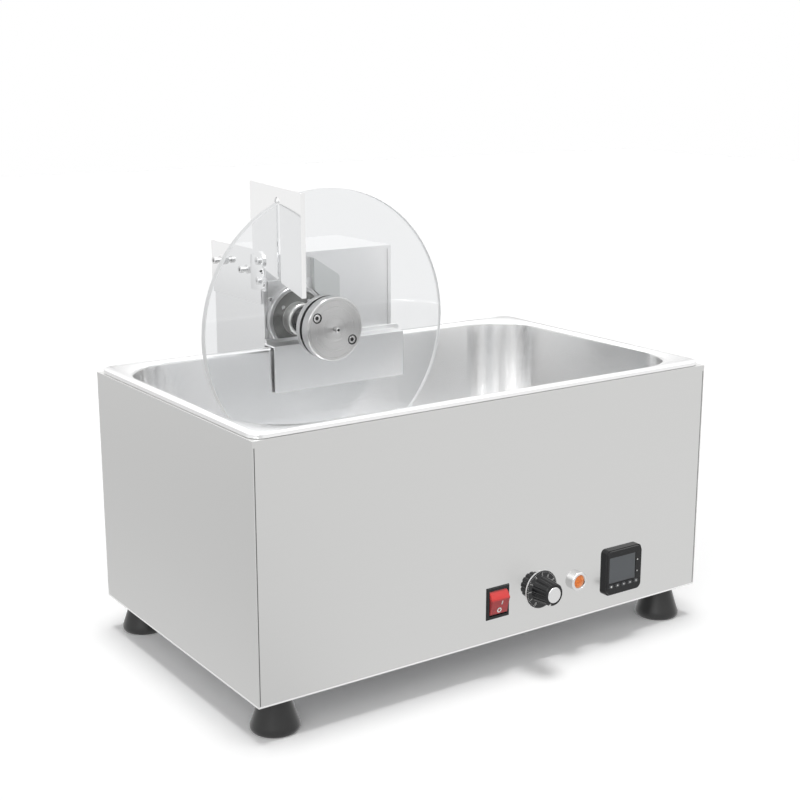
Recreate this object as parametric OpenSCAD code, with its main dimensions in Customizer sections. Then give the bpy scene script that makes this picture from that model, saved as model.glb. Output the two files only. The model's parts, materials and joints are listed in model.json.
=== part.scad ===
// Chocolate melter: a heated cabinet with a deep-drawn pan, and a motor unit
// that hooks over the rear rim and turns a clear coating wheel past a scraper.
// Front is -Y, up is +Z. Lengths are in millimetres.

/* [Housing] */
// Length of the housing, left to right
body_w = 530; // [500:5:580]
// Depth of the housing, front to rear
body_d = 325; // [310:5:370]
// Height of the housing without its feet
body_h = 240; // [230:5:280]
// Thickness of the housing sheet
sheet_t = 1.5; // [1:0.1:2]
// Thickness of the base panel
base_t = 2; // [1.5:0.5:3]
// Width of the inward lip that the base panel screws to
base_lip_w = 12; // [10:1:16]
// Height of a foot
foot_h = 35; // [25:1:50]
// Diameter of a foot on the floor
foot_floor_d = 46; // [40:1:52]
// Diameter of a foot under the base
foot_top_d = 34; // [30:1:38]
// Distance of a foot's centre from the housing's side
foot_side = 29; // [26:1:60]
// Distance of a foot's centre from the housing's front and rear
foot_front = 24; // [24:1:60]

/* [Pan] */
// Distance from the housing's edge to the pan's rim
rim_inset = 2; // [1:0.5:3]
// Height of the rim's top above the housing
rim_rise = 5; // [4:0.5:7]
// Width of the rim from its edge to the opening
rim_w = 11; // [11:0.5:16]
// Height of the turned-down edge of the rim
rim_skirt = 4.5; // [3:0.1:4.7]
// Corner radius of the rim
rim_corner_r = 13; // [8:1:20]
// Corner radius of the pan's opening
pan_corner_r = 60; // [45:1:70]
// Height kept free under the pan for the electrics
under_pan = 95; // [85:5:110]
// Thickness of the pan's wall
pan_t = 1.2; // [0.8:0.1:1.5]
// Slope of the pan's wall in degrees
pan_draft = 2; // [1:0.5:3]
// Radius between the pan's wall and its floor
pan_floor_r = 25; // [15:1:30]
// Radius of the rolled edge at the opening
pan_lip_r = 4; // [3:0.5:5]

/* [Heating] */
// Air gap between the pan and the well around it
well_gap = 2; // [1.5:0.5:4]
// Thickness of the well's sheet
well_t = 1.5; // [1:0.1:2]
// Thickness of the heater mat
heater_t = 2; // [1:0.5:4]
// Thickness of the insulation under the heater
insulation_t = 15; // [10:1:20]
// Thickness of the heat shield
shield_t = 1; // [0.8:0.1:1.5]

/* [Front controls] */
// Height of the switch's centre above the base
switch_z = 40; // [35:1:60]
// Place of the switch along the front
switch_x = -3.5; // [-20:0.5:0]
// Width of the switch's bezel
switch_w = 27.5; // [26.5:0.5:30]
// Height of the switch's bezel
switch_h = 32.5; // [31.5:0.5:36]
// Radius of the rocker about its pivot
rocker_r = 14.2; // [13.5:0.1:14.4]
// Width of the rocker
rocker_w = 21; // [18:0.5:21]
// Height of the dial's axis above the base
dial_z = 49; // [45:1:60]
// Place of the dial along the front
dial_x = 38; // [34:0.5:46]
// Diameter of the dial's graduated skirt
dial_skirt_d = 38.5; // [36:0.5:42]
// Diameter of the fluted collar behind the skirt
dial_collar_d = 26; // [24:0.5:32]
// Diameter of the grip where it leaves the skirt
dial_grip_d = 26; // [24:0.5:28]
// Diameter of the cap on the dial
dial_cap_d = 15.5; // [13:0.5:18]
// How far the dial stands out of the panel
dial_out = 36; // [32:0.5:40]
// Height of the lamp's centre above the base
lamp_z = 43; // [38:1:60]
// Place of the lamp along the front
lamp_x = 92.4; // [86:0.1:98]
// Diameter of the lamp's bezel
lamp_d = 19.5; // [17:0.5:22]
// Diameter of the lamp's lens
lens_d = 14; // [12:0.5:15]
// How far the lamp's bezel stands out
lamp_out = 11; // [8:0.5:14]
// Height of the controller's centre above the base
ctrl_z = 42; // [40:1:60]
// Place of the controller along the front
ctrl_x = 153.5; // [147:0.5:200]
// Side of the square controller bezel
ctrl_side = 48; // [46:0.5:52]
// How far the controller stands out
ctrl_out = 10; // [8:0.5:12]
// Corner radius of the controller's face
ctrl_corner_r = 7; // [4:0.5:8]
// Spacing of the controller's keys
key_pitch = 8.5; // [8:0.1:8.8]
// How far a key can be pressed
key_travel = 0.5; // [0.3:0.1:0.8]

/* [Wheel] */
// Radius of the clear wheel
wheel_r = 146; // [125:1:150]
// Thickness of the clear wheel
wheel_t = 8; // [6:0.5:8.5]
// Place of the wheel's axis along the housing
wheel_x = -33; // [-45:1:-25]
// Height of the wheel's axis above the pan's rim
axis_up = 27; // [22:1:45]
// Distance of the wheel's middle from the housing's rear face
wheel_back = 67.5; // [60:0.5:75]
// Radius of the brushed cap in front of the wheel
cap_r = 34; // [32:0.5:38]
// Thickness of the brushed cap
cap_t = 11; // [8:0.5:13]
// Radius of the disc behind the wheel
disc_r = 33.5; // [30:0.5:36]
// Thickness of the disc behind the wheel
disc_t = 8; // [5:0.5:9]
// Radius of the driven shaft
shaft_r = 10; // [8:0.5:11]
// Radius of the pin at the wheel's centre
pin_r = 2.5; // [2:0.1:3]
// Length of the pin in front of the cap
pin_out = 7; // [5:0.5:12]
// Distance of a clamp screw from the wheel's axis
clamp_r = 25.3; // [22:0.1:26]

/* [Motor unit] */
// Left side of the motor box
box_x0 = -71; // [-80:1:-69]
// Right side of the motor box
box_x1 = 94; // [80:1:120]
// Distance of the box's front from the housing's rear face
box_back = 4.5; // [4:0.5:8]
// Depth of the motor box
box_d = 113; // [105:1:150]
// Height of the box above the pan's rim
box_up = 98; // [92:1:115]
// How far the box hangs below the pan's rim
box_down = 45; // [35:1:70]
// Thickness of the motor box's sheet
cover_t = 1.2; // [0.8:0.1:1.5]
// Width of the folded lips of the cover
cover_lip = 4; // [3:0.5:6]
// Thickness of the plate that the gearbox screws to
mount_t = 2; // [1.5:0.5:3]
// Thickness of the saddle that hooks over the rim
saddle_t = 2; // [1.5:0.5:3]
// How far the saddle reaches down inside the pan
saddle_drop = 49; // [35:1:60]
// Radius of the neck round the shaft
neck_r = 18; // [17:0.5:19]
// Length of the neck in front of the bearing plate
neck_l = 18; // [14:0.5:22]
// Inner radius of the ring round the bearing flange
ring_ri = 31; // [30:0.5:32]
// Outer radius of the ring round the bearing flange
ring_ro = 36; // [34.5:0.5:37]

/* [Scraper] */
// Distance of the scraper's plane from the wheel's axis
scraper_off = 57; // [50:1:65]
// Thickness of the scraper plate
scraper_t = 2; // [1.5:0.5:2.5]
// Width of the slot that the wheel runs through
slot_w = 10; // [10:0.5:14]
// Height of the scraper's rear corner above the wheel's top
scraper_over = 6.5; // [6:0.5:15]
// Length of the scraper in front of the wheel
scraper_front = 47; // [40:1:60]
// Length of the scraper behind the wheel
scraper_rear = 57; // [54:1:60]
// Width of the folded front edge of the scraper
hem_w = 3; // [2:0.5:6]
// Radius of an ear on the scraper's bracket
ear_r = 10.5; // [9:0.5:11]
// Thickness of the scraper's bracket
bracket_t = 2; // [1.5:0.5:3]

/* [Fits] */
// Gap between parts that lift apart
lift_gap = 0.3; // [0.2:0.05:0.4]
// Radial gap of a running shaft
run_gap = 0.05; // [0.03:0.01:0.1]
// Radial gap round a screw
screw_gap = 0.1; // [0.05:0.05:0.2]

/* [Hidden] */
$fn = 64;
eps = 1;

// Levels of the housing
base_z = foot_h;
top_z = foot_h + body_h;
front_y = -body_d / 2;
rear_y = body_d / 2;
panel_in_y = front_y + sheet_t;
deck_z = base_z + base_t;

// The pan and what it hangs in
rim_z = top_z + rim_rise;
rim_width = body_w - 2 * rim_inset;
rim_depth = body_d - 2 * rim_inset;
mouth_w = rim_width - 2 * rim_w;
mouth_d = rim_depth - 2 * rim_w;
pan_floor_z = base_z + under_pan;
cutout_gap = 2.5;
cutout_w = mouth_w + 2 * cutout_gap;
cutout_d = mouth_d + 2 * cutout_gap;
cutout_r = pan_corner_r + cutout_gap;
gasket_in = 2;
gasket_w = 3.5;
gasket_h = rim_rise - pan_t - lift_gap;
well_in_w = cutout_w + 1;
well_in_d = cutout_d + 1;
well_in_r = cutout_r + 0.5;
well_floor_z = pan_floor_z - pan_t - well_gap;
well_bottom_z = well_floor_z - well_t;
well_lip_w = 4;
heater_z = well_bottom_z - heater_t;
insulation_z = heater_z - insulation_t;
heater_border = 32;
insulation_border = 8;
shield_wall = 34;
probe_r = 5;
probe_lead_r = 1.5;

// Feet, base screws and vents
foot_x = body_w / 2 - foot_side;
foot_y = body_d / 2 - foot_front;
foot_lip_h = 4;
foot_bore_r = 2.6;
foot_pocket_r = 7;
foot_pocket_h = 18;
foot_screw_r = foot_bore_r - screw_gap;
base_screw_r = 1.5;
base_screw_x = body_w / 2 - sheet_t - base_lip_w / 2;
base_screw_y = body_d / 2 - sheet_t - base_lip_w / 2;
base_fit = 0.3;
vent_count = 9;
vent_pitch = 14;
vent_l = 60;
vent_w = 5;

// Switch
switch_cz = base_z + switch_z;
bezel_t = 2;
bezel_bevel = 1.2;
switch_body_w = switch_w - 2.3;
switch_body_h = switch_h - 1.6;
switch_body_d = 20;
rocker_gap = 0.3;
rocker_pivot_in = 6.5;
rocker_half = 35;
rocker_rest = 15;
rocker_pin_r = 1.5;
rocker_hollow_r = rocker_r + 0.5;
rocker_mouth_h = 25.6;
rocker_mouth_in = 0.6;
panel_cut_gap = 0.15;

// Dial and potentiometer
dial_cz = base_z + dial_z;
collar_l = 15;
skirt_t = 2;
grip_tip_d = dial_grip_d - 3.5;
grip_l = dial_out - 1 - collar_l - skirt_t;
grip_taper = atan((dial_grip_d - grip_tip_d) / 2 / grip_l);
collar_flutes = 14;
grip_flutes = 14;
flute_r = 1.4;
bushing_r = 3.5;
bushing_out = 5.5;
nut_h = 2.2;
nut_af = 10;
knob_hollow_r = 7;
knob_hollow_l = 7;
dial_shaft_r = 3;
dial_shaft_in = 3;
dial_shaft_out = collar_l + skirt_t + 8;
pot_r = 12;
pot_l = 9;

// Lamp
lamp_cz = base_z + lamp_z;
lamp_tail_r = 4.6;
lamp_tail_l = 24;
lamp_recess = 1.5;

// Controller
ctrl_cz = base_z + ctrl_z;
ctrl_body_side = ctrl_side - 3.5;
ctrl_body_l = 58;
window_x0 = -20.9;
window_x1 = 15.1;
window_z0 = -11;
window_z1 = 16.5;
window_recess = 1.6;
key_w = 5.6;
key_h = 3.6;
key_l = 2.6;
key_x0 = -17.9;
key_z = -14.1;
key_proud = 0.7;
key_gap = 0.25;
key_pocket = key_l - key_proud + key_travel + 0.3;

// Electrics on the base, placed from the housing's ends and its rear wall
supply_size = [130, 96, 30];
supply_from_end = 115;
supply_from_rear = 102.5;
supply_x = -body_w / 2 + supply_from_end;
supply_y = rear_y - supply_from_rear;
supply_tray_w = 15;
supply_tray_h = 8;
supply_slot_pitch = 12;
supply_slot_w = 6;
supply_slot_d = 1.5;
relay_size = [48, 46, 26];
relay_from_end = 115;
relay_from_rear = 72.5;
relay_x = body_w / 2 - relay_from_end;
relay_y = rear_y - relay_from_rear;
relay_foot_w = 60;
relay_foot_h = 4;
relay_hole_x = 27;
relay_hole_r = 2.2;
block_size = [64, 20, 9];
block_from_end = 195;
block_from_rear = 42.5;
block_x = body_w / 2 - block_from_end;
block_y = rear_y - block_from_rear;
block_step_h = 5;
block_step_d = 3;
block_pitch = 10.4;
block_screw_r = 2;
block_wire_r = 1.6;
gland_from_end = 85;
gland_x = body_w / 2 - gland_from_end;
gland_z = base_z + 45;
gland_thread_r = 6;
gland_bore_r = 3.6;
gland_hex_af = 19;
gland_nut_h = 5;
gland_dome_l = 12;
gland_inner_nut_h = 4;
gland_thread_in = 5;

// Wheel and shaft
wheel_y = rear_y - wheel_back;
axis_z = rim_z + axis_up;
wheel_f = wheel_y - wheel_t / 2;
wheel_b = wheel_y + wheel_t / 2;
washer_t = 0.3;
cap_b = wheel_f - washer_t;
cap_f = cap_b - cap_t;
disc_f = wheel_b + washer_t;
disc_b = disc_f + disc_t;
hub_r = shaft_r - 2;
clamp_angle = 148;
clamp_screw_r = 2.5;
clamp_head_r = 4.2;
clamp_head_h = 4.4;
clamp_pocket_r = 5;
clamp_pocket_h = 5;
pin_chamfer = 0.6;

// Motor box
box_f = rear_y + box_back;
box_b = box_f + box_d;
box_top = rim_z + box_up;
box_bottom = rim_z - box_down;
box_mid_x = (box_x0 + box_x1) / 2;
back_lip = 9;
back_f = box_b - 2 * cover_t;
unit_gland_x = box_x1 - 30;
unit_gland_y = box_b - 40;
back_vent_count = 7;
back_vent_pitch = 9;
cover_screw_r = 1.5;
cover_head_h = 1.6;

// Bearing in front of the box
plate_t = 2;
plate_f = box_f - plate_t;
flange_t = 4.5;
flange_r = ring_ri - lift_gap;
flange_f = plate_f - flange_t;
ring_l = 6;
spigot_r = neck_r + 2;
neck_f = plate_f - neck_l;
neck_chamfer = 1.5;
seal_r = neck_r - 3;
seal_t = 3;
flange_screw_r = 23;
plate_screw_r = 39;
plate_head_r = 2.2;
guard_t = 1.6;
guard_x0 = wheel_x + 21.5;
guard_x1 = wheel_x + 54;
guard_out = 8;
guard_corner_r = 5;
guard_side_z = axis_z + 41;
guard_top_z = axis_z + 65;
plate_top_z = axis_z + 43;

// Saddle
saddle_x0 = box_x0 - 1;
saddle_x1 = box_x1 + 2;
saddle_z = rim_z + lift_gap;
saddle_leg_y = rear_y - 19;
bar_h = 4.7;
bar_d = 4;
bar_x1 = box_x1 + 10;
bar_chamfer = 4;
saddle_top = saddle_z + saddle_t;
bar_top = saddle_top + bar_h;

// Gearbox and motor
gear_w = 60;
gear_h = 70;
gear_l = 56;
worm_drop = 24;
motor_r = 26;
motor_l = 82;
motor_y = box_f + mount_t + gear_l / 2;
motor_z = axis_z - worm_drop;
shaft_b = box_f + mount_t + gear_l - 6;

// Scraper and its bracket
scraper_x = wheel_x - scraper_off;
scraper_lo = scraper_x - scraper_t / 2;
scraper_hi = scraper_x + scraper_t / 2;
wheel_reach = sqrt(wheel_r * wheel_r - (scraper_off - scraper_t / 2) * (scraper_off - scraper_t / 2));
slot_top_z = axis_z + wheel_reach;
scraper_y0 = wheel_y - scraper_front;
scraper_y1 = wheel_y + scraper_rear;
scraper_top_z = axis_z + wheel_r + scraper_over;
scraper_slope = 5.5;
edge_rear_z = box_top - 8;
edge_front_z = box_top - 29;
ear_y = wheel_y + 42;
ear_low_z = box_top - 21.5;
ear_pitch = 21;
ear_screw_r = 2;
tail_y = ear_y - ear_r + 2;
tail_z = ear_low_z - ear_r;
bracket_y1 = box_b;
bracket_z0 = box_top - 53;
bracket_z1 = box_top + 5;
joggle_y = box_f + 2;
joggle_y0 = scraper_y1 + 2;
bolt_r = 3;
bolt_head_r = 4;
bolt_head_l = 4;
bolt_out = 12;
bolt_in = 6;
bolt_nut_af = 9;
bolt_nut_h = 3.5;
bolt_socket_af = 4;
bolt_socket_h = 2.5;
bolt_places = [[box_f + 27, box_top - 17], [box_f + 85, box_top - 14]];
ear_head_r = 4;
ear_head_l = 2.4;
ear_nut_af = 7;
ear_nut_h = 3.2;

// Finishes
steel = [0.80, 0.80, 0.80];
polished = [0.88, 0.89, 0.90];
dark_steel = [0.55, 0.56, 0.57];
black = [0.09, 0.09, 0.09];
rubber = [0.13, 0.13, 0.13];

// Middle of the whole object from front to rear, which the origin lies under
mid_y = (front_y - dial_out + box_b + cover_head_h) / 2;

// Points on an arc from angle a0 to a1
function arc(cx, cy, r, a0, a1, n) = [
    for (i = [0 : n]) [cx + r * cos(a0 + (a1 - a0) * i / n), cy + r * sin(a0 + (a1 - a0) * i / n)]
];

// Radius of the pan's wall at a height below the lip
function pan_r(z) = pan_corner_r - (rim_z - pan_lip_r - z) * tan(pan_draft);

// Inner line of the pan from the rim to the floor, grown outwards by g
function pan_line(g) = concat(
    arc(pan_corner_r + pan_lip_r, rim_z - pan_lip_r, pan_lip_r - g, 90, 180 + pan_draft, 5),
    arc(
        pan_r(pan_floor_z + pan_floor_r) - pan_floor_r * cos(pan_draft),
        pan_floor_z + pan_floor_r, pan_floor_r + g, -pan_draft, -90, 6
    ),
    [[0, pan_floor_z - g]]
);

module rounded_outline(w, d, r) {
    square([w - 2 * r, d], center = true);
    square([w, d - 2 * r], center = true);
    for (sx = [-1, 1], sy = [-1, 1])
        translate([sx * (w / 2 - r), sy * (d / 2 - r)]) circle(r);
}

// A flat ring whose two outlines have round corners
module rounded_ring(w_out, d_out, r_out, w_in, d_in, r_in, h) {
    linear_extrude(h) difference() {
        rounded_outline(w_out, d_out, r_out);
        rounded_outline(w_in, d_in, r_in);
    }
}

// Carries a profile, drawn from a corner's centre outwards, round a rectangle
module swept_rim(w, d, r, profile) {
    cx = w / 2 - r;
    cy = d / 2 - r;
    for (c = [[1, 1, 0], [-1, 1, 90], [-1, -1, 180], [1, -1, 270]])
        translate([c[0] * cx, c[1] * cy, 0]) rotate([0, 0, c[2]])
            rotate_extrude(angle = 90) polygon(profile);
    for (turn = [0, 180]) rotate([0, 0, turn]) {
        translate([cx, 0, 0]) rotate([90, 0, 0])
            linear_extrude(2 * cy, center = true) polygon(profile);
        rotate([0, 0, 90]) translate([cy, 0, 0]) rotate([90, 0, 0])
            linear_extrude(2 * cx, center = true) polygon(profile);
    }
}

// A cylinder along Y from y0 to y1
module rod_y(r, y0, y1) {
    translate([0, y1, 0]) rotate([90, 0, 0]) cylinder(r = r, h = y1 - y0);
}

// A cylinder along X from x0 to x1
module rod_x(r, x0, x1) {
    translate([x0, 0, 0]) rotate([0, 90, 0]) cylinder(r = r, h = x1 - x0);
}

// A turned piece about the Y axis, whose profile is [radius, y]
module turned_y(profile) {
    rotate([-90, 0, 0]) rotate_extrude() polygon(profile);
}

// A box given by its two corners
module block(a, b) {
    translate(a) cube(b - a);
}

// A six-sided prism along Z
module hex(af, h) {
    cylinder(d = af / cos(30), h = h, $fn = 6);
}

module at_feet() {
    for (sx = [-1, 1], sy = [-1, 1]) translate([sx * foot_x, sy * foot_y, 0]) children();
}

module at_base_screws() {
    for (sx = [-1, 0, 1], sy = [-1, 1])
        translate([sx * base_screw_x * 0.8, sy * base_screw_y, 0]) children();
    for (sx = [-1, 1]) translate([sx * base_screw_x, 0, 0]) children();
}

module at_axis() {
    translate([wheel_x, 0, axis_z]) children();
}

module at_clamps() {
    for (a = [clamp_angle, clamp_angle + 180])
        translate([clamp_r * cos(a), 0, clamp_r * sin(a)]) children();
}

// The cabinet: four walls, the deck round the pan and the lips for the base
module housing_shell() color(steel) difference() {
    union() {
        difference() {
            block([-body_w / 2, front_y, base_z], [body_w / 2, rear_y, top_z]);
            block(
                [-body_w / 2 + sheet_t, panel_in_y, base_z - eps],
                [body_w / 2 - sheet_t, rear_y - sheet_t, top_z - sheet_t]
            );
        }
        difference() {
            block([-body_w / 2, front_y, deck_z], [body_w / 2, rear_y, deck_z + sheet_t]);
            block(
                [-body_w / 2 + sheet_t + base_lip_w, panel_in_y + base_lip_w, deck_z - eps],
                [body_w / 2 - sheet_t - base_lip_w, rear_y - sheet_t - base_lip_w, deck_z + sheet_t + eps]
            );
        }
    }
    translate([0, 0, top_z - 2 * sheet_t])
        linear_extrude(3 * sheet_t) rounded_outline(cutout_w, cutout_d, cutout_r);
    translate([switch_x, front_y, switch_cz]) block(
        [-switch_body_w / 2 - panel_cut_gap, -eps, -switch_body_h / 2 - panel_cut_gap],
        [switch_body_w / 2 + panel_cut_gap, sheet_t + eps, switch_body_h / 2 + panel_cut_gap]
    );
    translate([ctrl_x, front_y, ctrl_cz]) block(
        [-ctrl_body_side / 2 - panel_cut_gap, -eps, -ctrl_body_side / 2 - panel_cut_gap],
        [ctrl_body_side / 2 + panel_cut_gap, sheet_t + eps, ctrl_body_side / 2 + panel_cut_gap]
    );
    translate([dial_x, 0, dial_cz]) rod_y(bushing_r + screw_gap, front_y - eps, panel_in_y + eps);
    translate([lamp_x, 0, lamp_cz]) rod_y(lamp_tail_r + screw_gap, front_y - eps, panel_in_y + eps);
    translate([gland_x, 0, gland_z])
        rod_y(gland_thread_r + screw_gap, rear_y - sheet_t - eps, rear_y + eps);
    translate([0, 0, deck_z]) at_base_screws()
        translate([0, 0, -eps]) cylinder(r = base_screw_r + screw_gap, h = sheet_t + 2 * eps);
}

// The floor of the cabinet, with air slots under the electrics
module base_panel() color(dark_steel) difference() {
    block(
        [-body_w / 2 + sheet_t + base_fit, panel_in_y + base_fit, base_z],
        [body_w / 2 - sheet_t - base_fit, rear_y - sheet_t - base_fit, deck_z]
    );
    translate([0, 0, base_z - eps]) {
        at_feet() cylinder(r = foot_screw_r + screw_gap, h = base_t + 2 * eps);
        at_base_screws() cylinder(r = base_screw_r + screw_gap, h = base_t + 2 * eps);
        for (side = [-1, 1], i = [0 : vent_count - 1])
            translate([side * body_w / 4 + (i - (vent_count - 1) / 2) * vent_pitch, 0, 0])
                linear_extrude(base_t + 2 * eps) square([vent_w, vent_l], center = true);
    }
}

// The soft strip that the pan's rim lies on
module rim_gasket() color(rubber) {
    in = gasket_in;
    out = gasket_in + gasket_w;
    translate([0, 0, top_z]) rounded_ring(
        cutout_w + 2 * out, cutout_d + 2 * out, cutout_r + out,
        cutout_w + 2 * in, cutout_d + 2 * in, cutout_r + in, gasket_h
    );
}

// The sheet-metal trough round the pan, hung from the deck by its lip
module heating_well() color(dark_steel) {
    well_top = top_z - sheet_t;
    out_w = well_in_w + 2 * well_t;
    out_d = well_in_d + 2 * well_t;
    out_r = well_in_r + well_t;
    difference() {
        translate([0, 0, well_bottom_z]) linear_extrude(well_top - well_bottom_z)
            rounded_outline(out_w, out_d, out_r);
        translate([0, 0, well_floor_z]) linear_extrude(well_top - well_floor_z + eps)
            rounded_outline(well_in_w, well_in_d, well_in_r);
    }
    translate([0, 0, well_top - well_t]) rounded_ring(
        out_w + 2 * well_lip_w, out_d + 2 * well_lip_w, out_r + well_lip_w,
        out_w - well_t, out_d - well_t, out_r - well_t / 2, well_t
    );
}

// The silicone heater under the well, with a hole for the probe
module heater_mat() color([0.75, 0.25, 0.15]) translate([0, 0, heater_z])
    linear_extrude(heater_t) difference() {
        rounded_outline(well_in_w - 2 * heater_border, well_in_d - 2 * heater_border, 30);
        circle(probe_r + eps);
    }

module insulation_pad() color([0.86, 0.82, 0.66]) translate([0, 0, insulation_z])
    linear_extrude(insulation_t) difference() {
        rounded_outline(
            well_in_w - 2 * insulation_border, well_in_d - 2 * insulation_border,
            well_in_r - insulation_border
        );
        circle(probe_r + eps);
    }

// The tray that holds the insulation up against the well
module heat_shield() color(steel) {
    out_w = well_in_w + 2 * well_t + 2 * shield_t;
    out_d = well_in_d + 2 * well_t + 2 * shield_t;
    difference() {
        translate([0, 0, insulation_z - shield_t]) linear_extrude(shield_t + shield_wall)
            rounded_outline(out_w, out_d, well_in_r + well_t + shield_t);
        translate([0, 0, insulation_z]) linear_extrude(shield_wall + eps)
            rounded_outline(out_w - 2 * shield_t, out_d - 2 * shield_t, well_in_r + well_t);
        translate([0, 0, insulation_z - shield_t - eps]) cylinder(r = probe_lead_r + 1, h = shield_t + 2 * eps);
    }
}

// The temperature probe pressed against the well, with its lead going down
module temperature_probe() color(polished) {
    probe_l = heater_t + insulation_t / 2;
    translate([0, 0, well_bottom_z - probe_l]) cylinder(r = probe_r, h = probe_l);
    translate([0, 0, insulation_z - 6]) cylinder(r = probe_lead_r, h = well_bottom_z - insulation_z);
}

// A conical rubber foot with a pocket for its screw
module foot() color(rubber) rotate_extrude() polygon([
    [foot_pocket_r, 0],
    [foot_floor_d / 2, 0],
    [foot_floor_d / 2, foot_lip_h],
    [foot_floor_d / 2 - 1.5, foot_lip_h + 1.5],
    [foot_top_d / 2, foot_h - 2],
    [foot_top_d / 2, foot_h],
    [foot_bore_r, foot_h],
    [foot_bore_r, foot_pocket_h],
    [foot_pocket_r, foot_pocket_h]
]);
module foot_front_left() translate([-foot_x, -foot_y, 0]) foot();
module foot_front_right() translate([foot_x, -foot_y, 0]) foot();
module foot_rear_left() translate([-foot_x, foot_y, 0]) foot();
module foot_rear_right() translate([foot_x, foot_y, 0]) foot();

// One screw in each foot, with a nut on the base panel
module foot_screws() color(polished) at_feet() {
    head_h = 3.5;
    difference() {
        union() {
            translate([0, 0, foot_pocket_h - head_h])
                cylinder(r = foot_pocket_r - 2, h = head_h);
            translate([0, 0, foot_pocket_h - eps])
                cylinder(r = foot_screw_r, h = deck_z + 6 - foot_pocket_h + eps);
            translate([0, 0, deck_z]) hex(8, 4);
        }
        translate([0, 0, foot_pocket_h - head_h - eps]) hex(3, 2 + eps);
    }
}

// Pan-head screws that hold the base panel to the lips
module base_screws() color(polished) at_base_screws() {
    translate([0, 0, base_z - 1.5]) cylinder(r1 = 2.2, r2 = 2.8, h = 1.5);
    translate([0, 0, base_z - eps]) cylinder(r = base_screw_r, h = base_t + sheet_t + 3);
}

// The black bezel of the switch and the box behind it
module switch_frame() color(black) translate([switch_x, front_y, switch_cz]) {
    cavity_h = 2 * rocker_hollow_r;
    difference() {
        union() {
            rotate([90, 0, 0]) linear_extrude(bezel_t - bezel_bevel)
                square([switch_w, switch_h], center = true);
            translate([0, -bezel_t, 0]) rotate([90, 0, 0]) translate([0, 0, -bezel_bevel])
                linear_extrude(bezel_bevel)
                    square([switch_w - bezel_bevel, switch_h - bezel_bevel], center = true);
            block(
                [-switch_body_w / 2, -eps / 2, -switch_body_h / 2],
                [switch_body_w / 2, switch_body_d, switch_body_h / 2]
            );
        }
        block(
            [-rocker_w / 2 - rocker_gap, -bezel_t - eps, -rocker_mouth_h / 2],
            [rocker_w / 2 + rocker_gap, rocker_pivot_in, rocker_mouth_h / 2]
        );
        block(
            [-rocker_w / 2 - rocker_gap, -rocker_mouth_in, -cavity_h / 2],
            [rocker_w / 2 + rocker_gap, switch_body_d - 2, cavity_h / 2]
        );
        translate([0, rocker_pivot_in, 0])
            rod_x(rocker_pin_r + run_gap, -switch_body_w / 2 - eps, switch_body_w / 2 + eps);
    }
}

// The rocker: a drum segment with a faintly hollow face, on two pivots
module switch_rocker() color([0.85, 0.08, 0.08])
    translate([switch_x, front_y + rocker_pivot_in, switch_cz]) {
        face = concat(
            arc(0, 0, rocker_r, 100, 180 - rocker_half, 3),
            [[-rocker_r * cos(rocker_half) + 0.5, 0]],
            arc(0, 0, rocker_r, 180 + rocker_half, 260, 3),
            [[3, -6], [3, 6]]
        );
        rotate([rocker_rest, 0, 0]) rotate([90, 0, 90])
            linear_extrude(rocker_w, center = true) polygon(face);
        rod_x(rocker_pin_r, -switch_body_w / 2, switch_body_w / 2);
    }

module lamp_bezel() color(polished) translate([lamp_x, 0, lamp_cz]) turned_y([
    [lens_d / 2, front_y - lamp_out],
    [lamp_d / 2 - 1, front_y - lamp_out],
    [lamp_d / 2, front_y - lamp_out + 1],
    [lamp_d / 2, front_y],
    [lamp_tail_r, front_y],
    [lamp_tail_r, front_y + lamp_tail_l],
    [lamp_tail_r - 1, front_y + lamp_tail_l],
    [lamp_tail_r - 1, front_y - lamp_out + 6],
    [lens_d / 2, front_y - lamp_out + 6]
]);

module lamp_lens() color([0.95, 0.45, 0.1]) translate([lamp_x, 0, lamp_cz]) turned_y(concat(
    [[0, front_y - lamp_out + 6], [0, front_y - lamp_out - lamp_recess]],
    arc(0, front_y - lamp_out + lens_d / 2 - lamp_recess, lens_d / 2, 270, 300, 3),
    [
        [lens_d / 2 - run_gap, front_y - lamp_out + lamp_recess],
        [lens_d / 2 - run_gap, front_y - lamp_out + 6]
    ]
));

// The temperature controller: a square face with a window and five key pockets
module controller_case() color(black) translate([ctrl_x, front_y, ctrl_cz]) {
    face_r = ctrl_corner_r;
    difference() {
        union() {
            rotate([90, 0, 0]) linear_extrude(ctrl_out - 2) rounded_outline(ctrl_side, ctrl_side, ctrl_corner_r - 2);
            translate([0, -ctrl_out + 2, 0]) rotate([90, 0, 0]) linear_extrude(2)
                rounded_outline(ctrl_side - 2, ctrl_side - 2, face_r - 1);
            block(
                [-ctrl_body_side / 2, -eps / 2, -ctrl_body_side / 2],
                [ctrl_body_side / 2, ctrl_body_l, ctrl_body_side / 2]
            );
        }
        block([window_x0, -ctrl_out - eps, window_z0], [window_x1, -ctrl_out + window_recess, window_z1]);
        for (i = [0 : 4]) translate([key_x0 + i * key_pitch, -ctrl_out, key_z]) block(
            [-key_w / 2 - key_gap, -eps, -key_h / 2 - key_gap],
            [key_w / 2 + key_gap, key_pocket, key_h / 2 + key_gap]
        );
    }
}

module controller_window() color([0.55, 0.58, 0.56]) translate([ctrl_x, front_y - ctrl_out, ctrl_cz])
    block([window_x0, 0.6, window_z0], [window_x1, window_recess, window_z1]);

module controller_key(i) color([0.30, 0.31, 0.32])
    translate([ctrl_x + key_x0 + (i - 1) * key_pitch, front_y - ctrl_out - key_proud, ctrl_cz + key_z])
        rotate([-90, 0, 0]) linear_extrude(key_l) rounded_outline(key_w, key_h, 1.2);
module controller_key_1() controller_key(1);
module controller_key_2() controller_key(2);
module controller_key_3() controller_key(3);
module controller_key_4() controller_key(4);
module controller_key_5() controller_key(5);

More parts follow.
